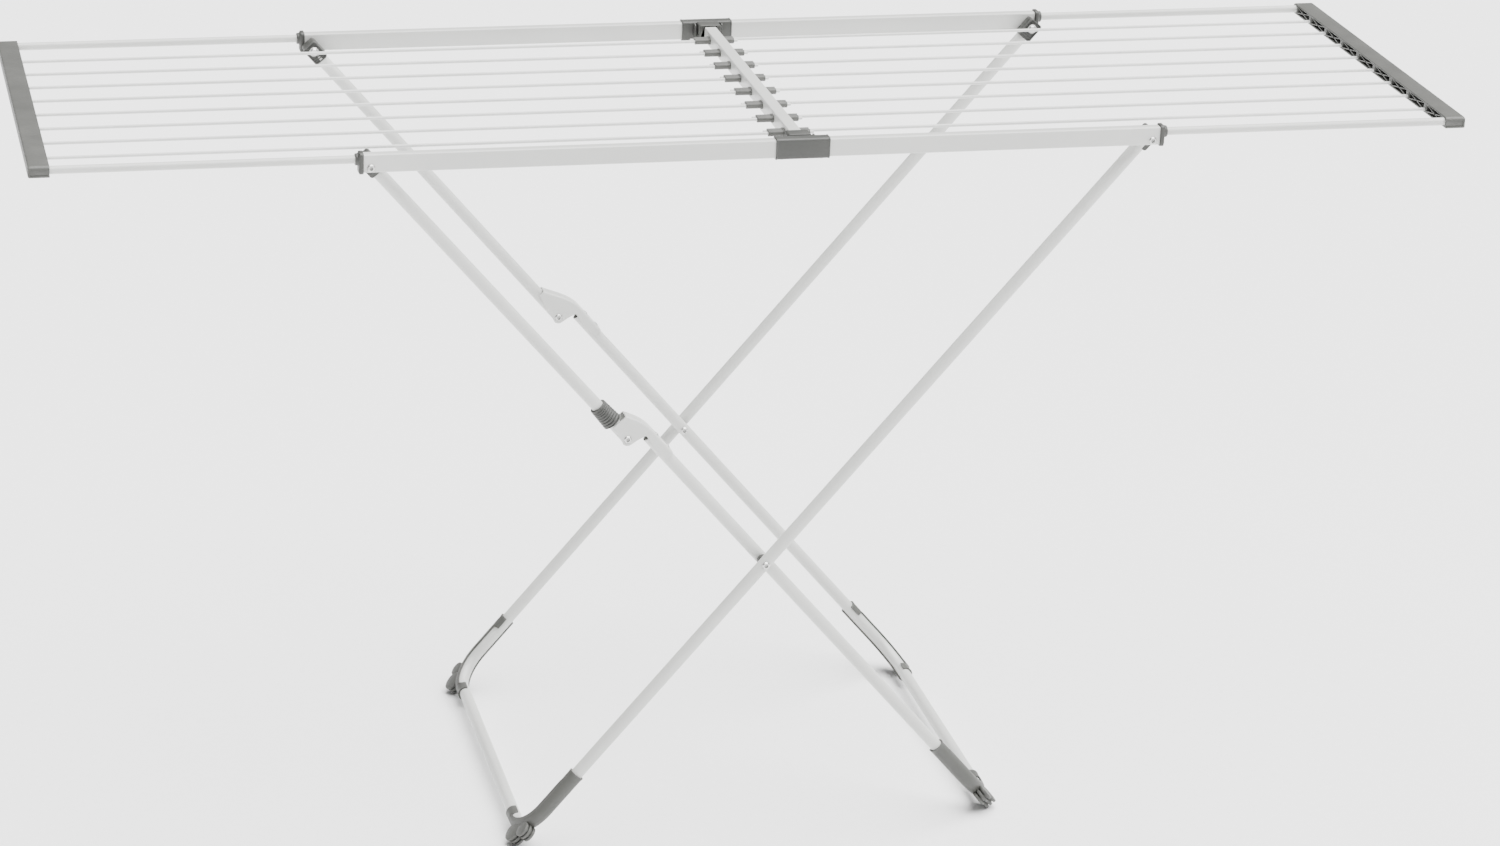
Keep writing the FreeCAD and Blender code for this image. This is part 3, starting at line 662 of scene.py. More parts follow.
@dataclass(frozen=True)
class Coating:
    """A paint or moulded plastic: its colours, gloss, grain, dust, edge scuffing and painted edge highlight."""

    name: str
    colour: Colour
    drift: Colour
    # lighter colour of pointed edges: partly scuffing, partly a painted edge highlight
    worn: Colour
    roughness: float
    gloss_spread: float = 0.08
    grain_scale: float = 900.0
    grain_depth: float = 0.15
    # how strongly pointed edges take that colour: painted edge highlight with scuffing
    wear: float = 0.3
    dust: float = 0.1
    specks: float = 0.1
    coat: float = 0.0
    metal: float = 0.0

    def material(self, effects: SharedEffects) -> bpy.types.Material:
        """Join the shared effects to one surface shader.

        Args:
            effects: The shared node groups.

        Returns:
            The finished material.
        """
        material, sheet = blank_material(self.name)
        mottle = sheet.add("ShaderNodeGroup", node_tree=effects.mottle)
        for label, value in (("First", opaque(self.colour)), ("Second", opaque(self.drift)),
                             ("Specks", self.specks)):
            mottle.inputs[label].default_value = value
        grain = sheet.add("ShaderNodeGroup", node_tree=effects.grain)
        grain.inputs["Scale"].default_value = self.grain_scale
        grain.inputs["Depth"].default_value = self.grain_depth
        edge = sheet.add("ShaderNodeGroup", node_tree=effects.rubbed_edge)
        edge.inputs["Amount"].default_value = self.wear
        dust = sheet.add("ShaderNodeGroup", node_tree=effects.dust)
        dust.inputs["Amount"].default_value = self.dust
        # pointed edges take the lighter colour: a painted edge highlight mixed with scuffing
        scuffed_and_highlit = sheet.mix(edge.outputs["Mask"], mottle.outputs["Color"], opaque(self.worn))
        colour = sheet.mix(dust.outputs["Mask"], scuffed_and_highlit, (0.5, 0.49, 0.47, 1.0))
        spread = sheet.maths("MULTIPLY", sheet.ramp(grain.outputs["Mask"], 0.3, 0.7), self.gloss_spread)
        gloss = sheet.maths("ADD", spread, self.roughness - self.gloss_spread / 2)
        shader = sheet.add("ShaderNodeBsdfPrincipled", {
            "Base Color": colour, "Roughness": gloss, "Normal": grain.outputs["Normal"]})
        shader.inputs["Coat Weight"].default_value = self.coat
        shader.inputs["Coat Roughness"].default_value = 0.25
        shader.inputs["Metallic"].default_value = self.metal
        sheet.add("ShaderNodeOutputMaterial", {"Surface": shader.outputs["BSDF"]})
        return material


# The third colour of each finish, lighter than the first, is a painted edge highlight mixed with scuffing on
# pointed edges.
FINISHES: dict[Finish, Coating] = {
    Finish.WHITE_STEEL: Coating("white_powder_coat", (0.56, 0.565, 0.545), (0.52, 0.525, 0.507),
                                (0.72, 0.72, 0.71), 0.4, grain_scale=520.0, grain_depth=0.10,
                                wear=0.25, dust=0.04, specks=0.12, coat=0.2),
    Finish.COATED_WIRE: Coating("coated_wire", (0.62, 0.625, 0.61), (0.57, 0.575, 0.56),
                                (0.75, 0.75, 0.74), 0.34, grain_scale=700.0, grain_depth=0.08,
                                wear=0.1, dust=0.04, specks=0.08, coat=0.3),
    Finish.GREY_PLASTIC: Coating("grey_moulded_plastic", (0.071, 0.072, 0.066), (0.055, 0.056, 0.051),
                                 (0.15, 0.152, 0.144), 0.52, grain_scale=1400.0, grain_depth=0.22,
                                 wear=0.4, dust=0.05, specks=0.15),
    Finish.DARK_PLASTIC: Coating("dark_moulded_plastic", (0.048, 0.049, 0.045), (0.036, 0.037, 0.034),
                                 (0.12, 0.121, 0.115), 0.5, grain_scale=1500.0, grain_depth=0.25,
                                 wear=0.45, dust=0.05, specks=0.2),
    Finish.ZINC_STEEL: Coating("zinc_plated_steel", (0.62, 0.62, 0.61), (0.5, 0.5, 0.49),
                               (0.75, 0.75, 0.74), 0.3, gloss_spread=0.18, grain_scale=300.0,
                               grain_depth=0.12, wear=0.3, dust=0.05, metal=1.0),
}


class Shop:
    """Makes pieces: turns shells into objects, gives them their finish and ties them to a body."""

    def __init__(self) -> None:
        """Mix the finishes and list which nodes stand behind a new piece."""
        effects = SharedEffects()
        self.materials = {finish: FINISHES[finish].material(effects) for finish in Finish}
        self.replaced: set[str] = set()

    def piece(self, name: str, shells: Iterable[Shell], finish: Finish, body: str,
              replaced: Sequence[str] = (), sharp: float = 32.0) -> bpy.types.Object:
        """Make one object from shells.

        Args:
            name: The piece's name.
            shells: Its closed surfaces, in millimetres.
            finish: What it is made of.
            body: The body that it moves with.
            replaced: Nodes that it stands for.
            sharp: Angle in degrees past which an edge stays sharp.

        Returns:
            The new object.
        """
        parts = [shell.outward() for shell in shells]
        counts = np.cumsum([0] + [len(part.points) for part in parts])
        points = np.concatenate([part.points for part in parts]) * MM
        faces = [row for part, start in zip(parts, counts) for block in part.faces
                 for row in (block + start).tolist()]
        mesh = bpy.data.meshes.new(name)
        mesh.from_pydata(points.tolist(), [], faces)
        mesh.validate()
        mesh.polygons.foreach_set("use_smooth", np.ones(len(mesh.polygons), bool))
        mesh.set_sharp_from_angle(angle=math.radians(sharp))
        mesh.materials.append(self.materials[finish])
        thing = bpy.data.objects.new(name, mesh)
        bpy.context.scene.collection.objects.link(thing)
        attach(thing, body)
        for node in replaced:
            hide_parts(node)
            self.replaced.add(node)
        LOG.info("%s: %d faces on %s", name, len(mesh.polygons), body)
        return thing

    def dress_kept(self, slots: dict[str, str]) -> None:
        """Give every node that stays visible the finish of its slot."""
        for name, thing in frame["nodes"].items():
            if name in self.replaced:
                continue
            material = self.materials[Finish(slots[name])]
            for slot in thing.material_slots:
                slot.material = material
            if not thing.material_slots:
                thing.data.materials.append(material)
            LOG.info("%s: kept, %s", name, material.name)


# ---- the rack's pieces
@dataclass
class Rail:
    """One long side of the table: a flat hollow tube with a round section at its corners."""

    side: Side
    wall: float = 1.0
    corner: float = 2.5

    def build(self, shop: Shop) -> None:
        """Sweep the hollow section along X."""
        name = f"{self.side.word}_rail"
        low, high = node_box(name)
        depth, height = (high - low)[1:]
        outer = rounded_box(depth, height, self.corner)
        inner = rounded_box(depth - 2 * self.wall, height - 2 * self.wall, self.corner - self.wall)
        line = straight(*box_run(name), Y_AXIS, np.linspace(0, 1, 9))
        shop.piece(f"{name}_tube", [hollow_run(outer, inner, line)], Finish.WHITE_STEEL, "table", [name])


@dataclass
class RailCap:
    """The plastic cap at one rail end: a flange, a hub round the wing tube and a plug."""

    side: Side
    end: End
    flange: float = 6.0
    hub_radius: float = 7.5
    hub_length: float = 4.0
    bore: float = 5.06
    plug_wall: float = 1.05
    plug_length: float = 20.0
    corner: float = 4.0

    def build(self, shop: Shop) -> None:
        """Bore the flange and plug for the wing tube and turn the hub."""
        name = f"{self.side.word}_{self.end.word}_rail_cap"
        low, high = node_box(name)
        tube_low, tube_high = node_box(f"{self.end.word}_wing_{self.side.word}_tube")
        sign = self.end.value
        face = (high[0] if sign > 0 else -low[0]) - self.hub_length
        plane = Plane(np.zeros(3), Y_AXIS, Z_AXIS, sign * X_AXIS)
        middle = (low[1] + high[1]) / 2, (low[2] + high[2]) / 2
        tube = (tube_low[1] + tube_high[1]) / 2, (tube_low[2] + tube_high[2]) / 2
        width, height = high[1] - low[1], high[2] - low[2]
        flange = rounded_box(width, height, self.corner, 7, middle)
        slim = 4.0 + 2 * self.plug_wall
        plug = rounded_box(width - slim, height - slim, 1.4, 4, middle)
        rib = rounded_box(width - 3.0, height - 3.0, self.corner - 1.2, 7, middle)
        shells = [bored_slab(flange, tube, self.bore, face - self.flange, face - 0.6, 1.1, plane),
                  bored_slab(rib, tube, self.bore, face - 1.6, face, 0.6, plane),
                  bored_slab(plug, tube, self.bore, face - self.flange - self.plug_length,
                             face - self.flange, 0.3, plane)]
        reach = self.hub_length
        hub = [(self.bore, -0.8), (self.hub_radius + 1.0, -0.8), (self.hub_radius + 0.6, 0.35),
               (self.hub_radius, 0.9), (self.hub_radius - 0.15, reach - 0.7),
               (self.hub_radius - 0.5, reach - 0.2), (self.hub_radius - 0.9, reach),
               (self.bore + 0.35, reach), (self.bore, reach - 0.4)]
        foot = np.array([sign * face, tube[0], tube[1]])
        shells.append(lathe(hub, foot, sign * X_AXIS, 40, hollow=True))
        shop.piece(f"{name}_moulding", shells, Finish.DARK_PLASTIC, "table", [name])


@dataclass
class MiddleBar:
    """The cross bar under the rods, and the eight guides that the rods slide through."""

    wall: float = 1.0
    corner: float = 1.6
    barrel: float = 3.95
    bore: float = 2.06
    bore_pitch: float = 7.0
    collar: float = 0.75

    def build(self, shop: Shop) -> None:
        """Sweep the bar along Y and mould each guide from two bored halves."""
        low, high = node_box("middle_bar")
        width, height = high[0] - low[0], high[2] - low[2]
        outer = rounded_box(width, height, self.corner)
        inner = rounded_box(width - 2 * self.wall, height - 2 * self.wall, 0.7)
        line = straight(*box_run("middle_bar", 1), X_AXIS, np.linspace(0, 1, 7))
        shop.piece("middle_bar_tube", [hollow_run(outer, inner, line)], Finish.WHITE_STEEL, "table",
                   ["middle_bar"])
        shells = [shell for y, z in self.guide_places() for shell in self.guide(y, z, low[0], high[0])]
        shop.piece("rod_guide_mouldings", shells, Finish.GREY_PLASTIC, "table", ["rod_guides"])

    def guide_places(self) -> list[tuple[float, float]]:
        """Middle of each guide across the rack, read from the rods on both its sides."""
        places = []
        for number in ROD_NUMBERS:
            left = np.mean(node_box(f"left_wing_rod_{number}"), axis=0)
            right = np.mean(node_box(f"right_wing_rod_{number}"), axis=0)
            places.append(((left[1] + right[1]) / 2, left[2]))
        return places

    def guide(self, y: float, z: float, bar_low: float, bar_high: float) -> list[Shell]:
        """One guide: two bored barrels side by side, flat where they join, and a lip at the bar.

        Args:
            y: Its middle across the rack.
            z: Height of its bores.
            bar_low: The bar's face on the left.
            bar_high: The bar's face on the right.

        Returns:
            The guide's shells.
        """
        low, high = node_box("rod_guides")
        plane = Plane(np.zeros(3), Y_AXIS, Z_AXIS, X_AXIS)
        shells = []
        for side in (-1, 1):
            bore = (y + side * self.bore_pitch / 2, z)
            for x0, x1, grow, bevel in ((low[0], high[0], 0.0, 0.5),
                                        (bar_low - 2.4, bar_low, self.collar, 0.3),
                                        (bar_high, bar_high + 2.4, self.collar, 0.3)):
                barrel = circle(self.barrel + grow, 40) + np.asarray(bore)
                barrel[:, 0] = y + side * np.maximum(side * (barrel[:, 0] - y), 0.0)
                shells.append(bored_slab(barrel, bore, self.bore, x0, x1, bevel, plane, 40))
        return shells


@dataclass
class Saddle:
    """The sleeve on a rail that carries one end of the middle bar."""

    side: Side
    wall: float = 2.0
    ridge: float = 0.35
    ridge_width: float = 1.6
    lug_length: float = 30.0
    lug_reach: float = 22.0
    lug_foot: float = 931.0

    def build(self, shop: Shop) -> None:
        """Run the closed sleeve along the rail with a ridge at each end, then add the hooded lug."""
        name = f"{self.side.word}_bar_saddle"
        low, high = node_box(name)
        rail_low, rail_high = node_box(f"{self.side.word}_rail")
        sign = self.side.value
        inner_y = rail_low[1] if sign > 0 else -rail_high[1]
        middle_y, middle_z = (rail_low + rail_high)[1:] / 2
        depth, height = (rail_high - rail_low)[1:]
        core = rounded_box(depth + 0.1, height + 0.1, 2.5, 6)
        line = [np.array([x, middle_y, middle_z]) for x in (low[0], high[0])]
        stops = np.array([0.0, 0.5, self.ridge_width, self.ridge_width + 0.5])
        length = high[0] - low[0]
        stops = np.concatenate([stops, length - stops[::-1]]) / length
        drop = np.array([0.5, 0.0, 0.0, self.ridge])
        drop = np.concatenate([drop, drop[::-1]])
        stations = straight(line[0], line[1], Y_AXIS, stops)
        outer = np.stack([rounded_box(depth + 2 * (self.wall - d), height + 2 * (self.wall - d), 3.4, 6)
                          for d in drop])
        rings = np.concatenate([stations.carry(outer), stations.carry(core)[::-1]])
        shells = [lattice(rings, True, False)]
        bar_low, bar_high = node_box("middle_bar")
        middle = (bar_low[0] + bar_high[0]) / 2
        half_bar = (bar_high[0] - bar_low[0]) / 2
        front = Plane(np.array([middle, 0.0, 0.0]), X_AXIS, Z_AXIS, sign * Y_AXIS)
        shells += self.lug(front, half_bar, bar_high[2], high[2], inner_y)
        shop.piece(f"{name}_moulding", shells, Finish.DARK_PLASTIC, "table", [name])

    def lug(self, front: Plane, half_bar: float, bar_top: float, top: float, inner_y: float) -> list[Shell]:
        """The hood over the bar's end, the plate behind it and two gussets.

        Args:
            front: Drawing plane square to the bar.
            half_bar: Half the bar's width.
            bar_top: Height of the bar's top.
            top: Height of the lug's top.
            inner_y: Distance of the rail's inner face from the middle.

        Returns:
            The lug's shells.
        """
        half, foot = self.lug_length / 2, self.lug_foot
        hood = rounded_path([
            (-half, foot, 0.8), (-half, top, 3.0), (half, top, 3.0), (half, foot, 0.8),
            (half_bar + 0.05, foot, 0.5), (half_bar + 0.05, bar_top + 0.05, 0.8),
            (-half_bar - 0.05, bar_top + 0.05, 0.8), (-half_bar - 0.05, foot, 0.5)], 5)
        back = rounded_box(self.lug_length - 0.6, top - foot - 0.4, 2.0, 5, (0.0, (top + foot) / 2))
        shells = [slab(hood, inner_y - self.lug_reach, inner_y - 2.9, 1.0, front),
                  slab(back, inner_y - 3.2, inner_y - 1.5, 0.3, front)]
        for step in (-1, 1):
            gusset = rounded_path([(0.0, foot + 3.0, 0.5), (0.0, top - 1.5, 0.5), (-9.0, top - 1.5, 3.0),
                                   (-14.0, foot + 3.0, 0.5)], 4)
            place = front.origin + front.first * step * (half + 3.0) + front.depth * (inner_y - 1.5)
            shells.append(slab(gusset, -1.0, 1.0, 0.4, Plane(place, front.depth, Z_AXIS, front.first)))
        return shells


@dataclass
class EndBar:
    """The bar at the end of a wing: a channel closed to the outside, stiffened by X ribs."""

    end: End
    wall: float = 2.2
    rib: float = 1.4
    boss: float = 9.0
    end_round: float = 5.0
    rim: float = 1.6

    def build(self, shop: Shop) -> None:
        """Carry the C-shaped section along Y, then add the bosses and the crossed ribs."""
        name = f"{self.end.word}_wing_end_bar"
        low, high = node_box(name)
        sign = self.end.value
        outer_x, inner_x = (high[0], low[0]) if sign > 0 else (-low[0], -high[0])
        width, height = outer_x - inner_x, high[2] - low[2]
        half, wall, rim = height / 2, self.wall, self.rim
        section = counter_clockwise(rounded_path([
            (0.0, -half, 0.5), (width, -half, rim), (width, half, rim + 0.8), (0.0, half, 0.9),
            (0.0, half - wall, 0.5), (width - wall, half - wall, 0.8),
            (width - wall, -half + wall, 0.8), (0.0, -half + wall, 0.5)], 6))
        long_half = high[1]
        near_end = long_half - self.end_round
        turn = np.linspace(0.06, math.pi / 2, 8)
        steps = np.concatenate([near_end + self.end_round * np.cos(turn), [0.0]])
        drop = np.concatenate([self.end_round * (1 - np.sin(turn)), [0.0]])
        places = np.concatenate([-steps[:-1], steps[::-1]])
        drops = np.concatenate([drop[:-1], drop[::-1]])
        sections = np.repeat(section[None], len(places), axis=0)
        share = (sections[..., 1] + half) / height
        sections[..., 1] -= share ** 3 * drops[:, None]
        ease = np.where(np.abs(places) > long_half - 1.2, 0.5, 0.0)
        sections[..., 0] -= (sections[..., 0] > width / 2) * ease[:, None]
        middle_z = (low[2] + high[2]) / 2
        ones = np.ones((len(places), 1))
        origin = places[:, None] * Y_AXIS + ones * (sign * inner_x * X_AXIS + middle_z * Z_AXIS)
        line = Stations(origin, ones * sign * X_AXIS, ones * Z_AXIS)
        shells = [lattice(line.carry(sections), False, True)]
        plane = Plane(np.array([sign * inner_x, 0.0, middle_z]), Y_AXIS, Z_AXIS, sign * X_AXIS)
        shells += self.inside(plane, width - wall + 0.3, half - wall + 0.3, long_half, middle_z)
        shop.piece(f"{name}_moulding", shells, Finish.GREY_PLASTIC, f"{self.end.word}_wing", [name])

    def inside(self, plane: Plane, depth: float, tall: float, long_half: float,
               middle_z: float) -> list[Shell]:
        """The bored bosses round each rod and tube, the crossed ribs between them and the end plugs.

        Args:
            plane: Drawing plane on the bar's open face.
            depth: Depth of the channel.
            tall: Half its inner height.
            long_half: Half the bar's length.
            middle_z: Height of the bar's middle.

        Returns:
            The shells inside the channel.
        """
        word = self.end.word
        bores = []
        for number in ROD_NUMBERS:
            low, high = node_box(f"{word}_wing_rod_{number}")
            bores.append(((low[1] + high[1]) / 2, (low[2] + high[2]) / 2 - middle_z, 2.02))
        for side in Side:
            low, high = node_box(f"{word}_wing_{side.word}_tube")
            bores.append(((low[1] + high[1]) / 2, 0.0, 5.02))
        bores.sort()
        shells = []
        for y, z, radius in bores:
            half_y = self.boss / 2 if radius < 4 else long_half - abs(y) - 0.6
            outline = rounded_box(2 * half_y, 2 * tall, 0.8, 4, (y, 0.0))
            shells.append(bored_slab(outline, (y, z), radius, 0.25, depth, 0.35, plane, 40))
            ring = rounded_box(2 * radius + 3.0, 2 * radius + 3.0, radius + 1.45, 7, (y, z))
            if radius < 4:
                shells.append(bored_slab(ring, (y, z), radius, -0.0, 1.4, 0.3, plane, 32))
        for (y0, _, r0), (y1, _, r1) in zip(bores, bores[1:]):
            start, stop = y0 + self.boss / 2 - 0.3, y1 - self.boss / 2 + 0.3
            for slope in (-1, 1):
                ends = np.array([[start, -slope * (tall - 0.4)], [stop, slope * (tall - 0.4)]])
                along = unit(ends[1] - ends[0])
                across = np.array([-along[1], along[0]]) * self.rib / 2
                rib = np.stack([ends[0] - across, ends[1] - across, ends[1] + across, ends[0] + across])
                shells.append(slab(rib, 0.4, depth, 0.15, plane))
        return shells


@dataclass
class Wing:
    """One sliding wing: its end bar, two side tubes and eight rods."""

    end: End
    tube_wall: float = 0.8
    end_bar: EndBar = field(init=False)

    def __post_init__(self) -> None:
        """Give the wing its end bar."""
        self.end_bar = EndBar(self.end)

    def build(self, shop: Shop) -> None:
        """Make the tubes and rods, then the bar."""
        word, body = self.end.word, f"{self.end.word}_wing"
        for side in Side:
            name = f"{word}_wing_{side.word}_tube"
            low, high = node_box(name)
            radius = (high[2] - low[2]) / 2
            line = straight(*box_run(name), Y_AXIS, np.linspace(0, 1, 5))
            wall = hollow_run(circle(radius, 36), circle(radius - self.tube_wall, 36), line)
            shop.piece(f"{name}_run", [wall], Finish.WHITE_STEEL, body, [name])
        for number in ROD_NUMBERS:
            name = f"{word}_wing_rod_{number}"
            low, high = node_box(name)
            rod = round_bar(*box_run(name), (high[2] - low[2]) / 2, 0.5, 24)
            shop.piece(f"{name}_wire", [rod], Finish.COATED_WIRE, body, [name])
        self.end_bar.build(shop)


# ---- legs
@dataclass
class LegLines:
    """The centre lines of both leg frames, worked out from the joints and the crossing."""

    crossing: Array = field(default_factory=lambda: np.array([22.0, 0.0, 381.6]))
    knee_offset: float = 21.0
    foot_height: float = 20.2
    outer_y: float = 255.5
    inner_y: float = 234.5
    upper_top_y: float = 250.0
    radius: float = 8.0
    wall: float = 1.0
    bend: float = 45.0

    def __post_init__(self) -> None:
        """Aim the outer frame at the crossing; tilt the upper leg so that the offset tube meets it."""
        self.right_pivot = joint_point("outer_leg_fold")
        self.left_pivot = joint_point("upper_leg_fold")
        self.knee = joint_point("knee_fold")
        self.outer_down = unit(self.crossing - self.right_pivot)
        self.inner_down = unit(self.knee - self.left_pivot)
        self.inner_side = np.array([-self.inner_down[2], 0.0, self.inner_down[0]])
        self.outer_length = (self.right_pivot[2] - self.foot_height) / -self.outer_down[2]
        self.lower_origin = self.knee + self.inner_side * self.knee_offset
        self.lower_length = (self.lower_origin[2] - self.foot_height) / -self.inner_down[2]

    def knee_place(self, along: float, across: float, y: float = 0.0) -> Array:
        """A point measured from the knee pin, along and across the lower tube."""
        return self.knee + self.inner_down * along + self.inner_side * across + Y_AXIS * y


@dataclass
class FrameLine:
    """The centre line of one U-shaped frame: down a leg, round a bend, across and up again."""

    start: Array
    down: Array
    length: float
    y: float
    bend: float
    trim: float

    def half(self, top: float, cross: float, arc_steps: int = 20, leg_stops: int = 6,
             cross_stops: int = 4) -> tuple[Array, Array]:
        """The far half of the line: straight, quarter circle, straight.

        Args:
            top: Where it starts, measured down the leg.
            cross: Length of the straight part across.
            arc_steps: Steps round the bend.
            leg_stops: Places on the leg.
            cross_stops: Places on the cross part.

        Returns:
            Its points and their directions of travel.
        """
        side_end = self.length - self.bend
        leg = np.linspace(top, side_end, leg_stops)[:-1]
        turn = np.linspace(0.0, math.pi / 2, arc_steps + 1)
        over = np.linspace(0.0, cross, cross_stops)[1:]
        down = np.concatenate([leg, side_end + self.bend * np.sin(turn), np.full(len(over), self.length)])
        inward = np.concatenate([np.zeros(len(leg)), self.bend * (1 - np.cos(turn)), self.bend + over])
        way_down = np.concatenate([np.ones(len(leg)), np.cos(turn), np.zeros(len(over))])
        way_in = np.concatenate([np.zeros(len(leg)), np.sin(turn), np.ones(len(over))])
        points = self.start + down[:, None] * self.down + (self.y - inward)[:, None] * Y_AXIS
        return points, way_down[:, None] * self.down - way_in[:, None] * Y_AXIS

    def stations(self, points: Array, travel: Array) -> Stations:
        """Places on the line; a section's first value points outwards, its second across the frame."""
        flat = unit(np.cross(self.down, Y_AXIS))
        ones = np.ones((len(points), 1))
        return Stations(points, np.cross(ones * flat, travel), ones * flat)

    def whole(self) -> Stations:
        """The full U, made of one half and its mirror image."""
        points, travel = self.half(self.trim, self.y - self.bend)
        mirror = np.array([1.0, -1.0, 1.0])
        back = points[:-1][::-1] * mirror
        back_travel = -travel[:-1][::-1] * mirror
        return self.stations(np.concatenate([points, back]), np.concatenate([travel, back_travel]))


@dataclass
class LegFrame:
    """A U-shaped frame bent from one hollow tube."""

    node: str
    body: str
    line: FrameLine
    radius: float
    wall: float

    def build(self, shop: Shop) -> None:
        """Carry the ring along the U."""
        shell = hollow_run(circle(self.radius, 40), circle(self.radius - self.wall, 40), self.line.whole())
        shop.piece(f"{self.node}_tube", [shell], Finish.WHITE_STEEL, self.body, [self.node])


@dataclass
class UpperLeg:
    """One straight tube from a pivot to the knee, with its top fitting's place."""

    side: Side
    lines: LegLines
    seat: float = 6.0
    past_pin: float = 7.0

    def ends(self) -> tuple[Array, Array, Array]:
        """The tube's two ends and its direction; it leans in towards the knee."""
        sign = self.side.value
        top = self.lines.left_pivot + Y_AXIS * sign * self.lines.upper_top_y
        pin = self.lines.knee + Y_AXIS * sign * self.lines.inner_y
        along = unit(pin - top)
        return top + along * self.seat, pin + along * self.past_pin, along

    def build(self, shop: Shop) -> None:
        """Carry the ring between the two ends."""
        name = f"{self.side.word}_upper_leg"
        top, end, _ = self.ends()
        line = straight(top, end, Y_AXIS, np.linspace(0, 1, 6))
        radius = self.lines.radius
        shell = hollow_run(circle(radius, 40), circle(radius - self.lines.wall, 40), line)
        shop.piece(f"{name}_tube", [shell], Finish.WHITE_STEEL, "upper_legs", [name])


@dataclass
class LegFitting:
    """The moulding that holds a leg's top end on its pivot: a rimmed block with ribs and a nose."""

    node: str
    body: str
    side: Side
    pivot: Array
    down: Array
    half: float = 10.0
    above: float = 10.8
    below: float = 17.0
    corner: float = 3.8
    nose: float = 8.5
    sunk: float = 1.8
    rib: float = 1.2
    rib_places: tuple[float, ...] = (-9.6, -7.0, 9.6, 12.4)

    def build(self, shop: Shop) -> None:
        """Make the far fitting; the near one is its mirror image."""
        low, high = node_box(self.node)
        inner, outer = sorted(abs(np.array([low[1], high[1]])))
        across = np.array([-self.down[2], 0.0, self.down[0]])
        plane = Plane(self.pivot, self.down, across, Y_AXIS)
        outline = rounded_box(self.above + self.below, 2 * self.half, self.corner, 6,
                              ((self.below - self.above) / 2, 0.0))
        shells = [slab(outline, inner + self.sunk, outer - 2.0, 1.0, plane),
                  slab(circle(self.nose, 40), outer - 3.2, outer, 0.5, plane),
                  rim(outline, 1.7, inner, inner + self.sunk + 1.2, 0.4, plane),
                  bored_slab(circle(7.2, 40), (0.0, 0.0), 3.3, inner, inner + self.sunk + 0.4, 0.5, plane)]
        for place in self.rib_places:
            bar = rounded_box(self.rib, 2 * self.half - 2.6, 0.5, 3, (place, 0.0))
            shells.append(slab(bar, inner + 0.5, inner + self.sunk + 0.4, 0.3, plane))
        shells = on_side(shells, self.side)
        shop.piece(f"{self.node}_moulding", shells, Finish.DARK_PLASTIC, self.body, [self.node])


@dataclass
class LockCollar:
    """The ribbed collar on the near upper leg that slides over the knee."""

    leg: UpperLeg
    start: float = 28.0
    length: float = 30.0
    wide: float = 13.0
    narrow: float = 11.2
    rings: int = 8
    groove: float = 1.6

    def build(self, shop: Shop) -> None:
        """Turn rings that grow towards the knee: radius = envelope - groove x (1 - sine of the share)."""
        _, end, along = self.leg.ends()
        foot = end - along * (self.leg.past_pin + self.start)
        heights = 1.2 + (self.length - 3.0) * (1 - np.linspace(1.0, 0.0, self.rings + 1) ** 1.3)
        steps = np.linspace(0.0, 1.0, 9)[:-1]
        profile = []
        for low, high in zip(heights, heights[1:]):
            rows = low + (high - low) * steps
            depth = self.groove * (1 - 0.45 * rows / self.length) * (1 - np.sin(steps * math.pi) ** 0.6)
            profile += list(zip(self.envelope(rows) - depth, rows))
        top, bottom = float(self.envelope(self.length)), float(self.envelope(0.0))
        profile += [(top - 0.3, heights[-1]), (top, heights[-1] + 0.4), (top - 0.1, self.length - 0.5),
                    (top - 0.6, self.length), (8.6, self.length), (8.1, self.length - 0.6), (8.1, 0.5),
                    (8.5, 0.0), (bottom - 0.8, 0.0), (bottom - 0.2, 0.5)]
        shell = lathe([tuple(map(float, row)) for row in profile], foot, -along, 64, hollow=True)
        shop.piece("lock_collar_moulding", [shell], Finish.DARK_PLASTIC, "collar", ["lock_collar"], 50.0)

    def envelope(self, height: Array | float) -> Array:
        """The rings' outer radius, falling evenly from the wide end to the narrow one."""
        return self.wide + (self.narrow - self.wide) * np.asarray(height) / self.length


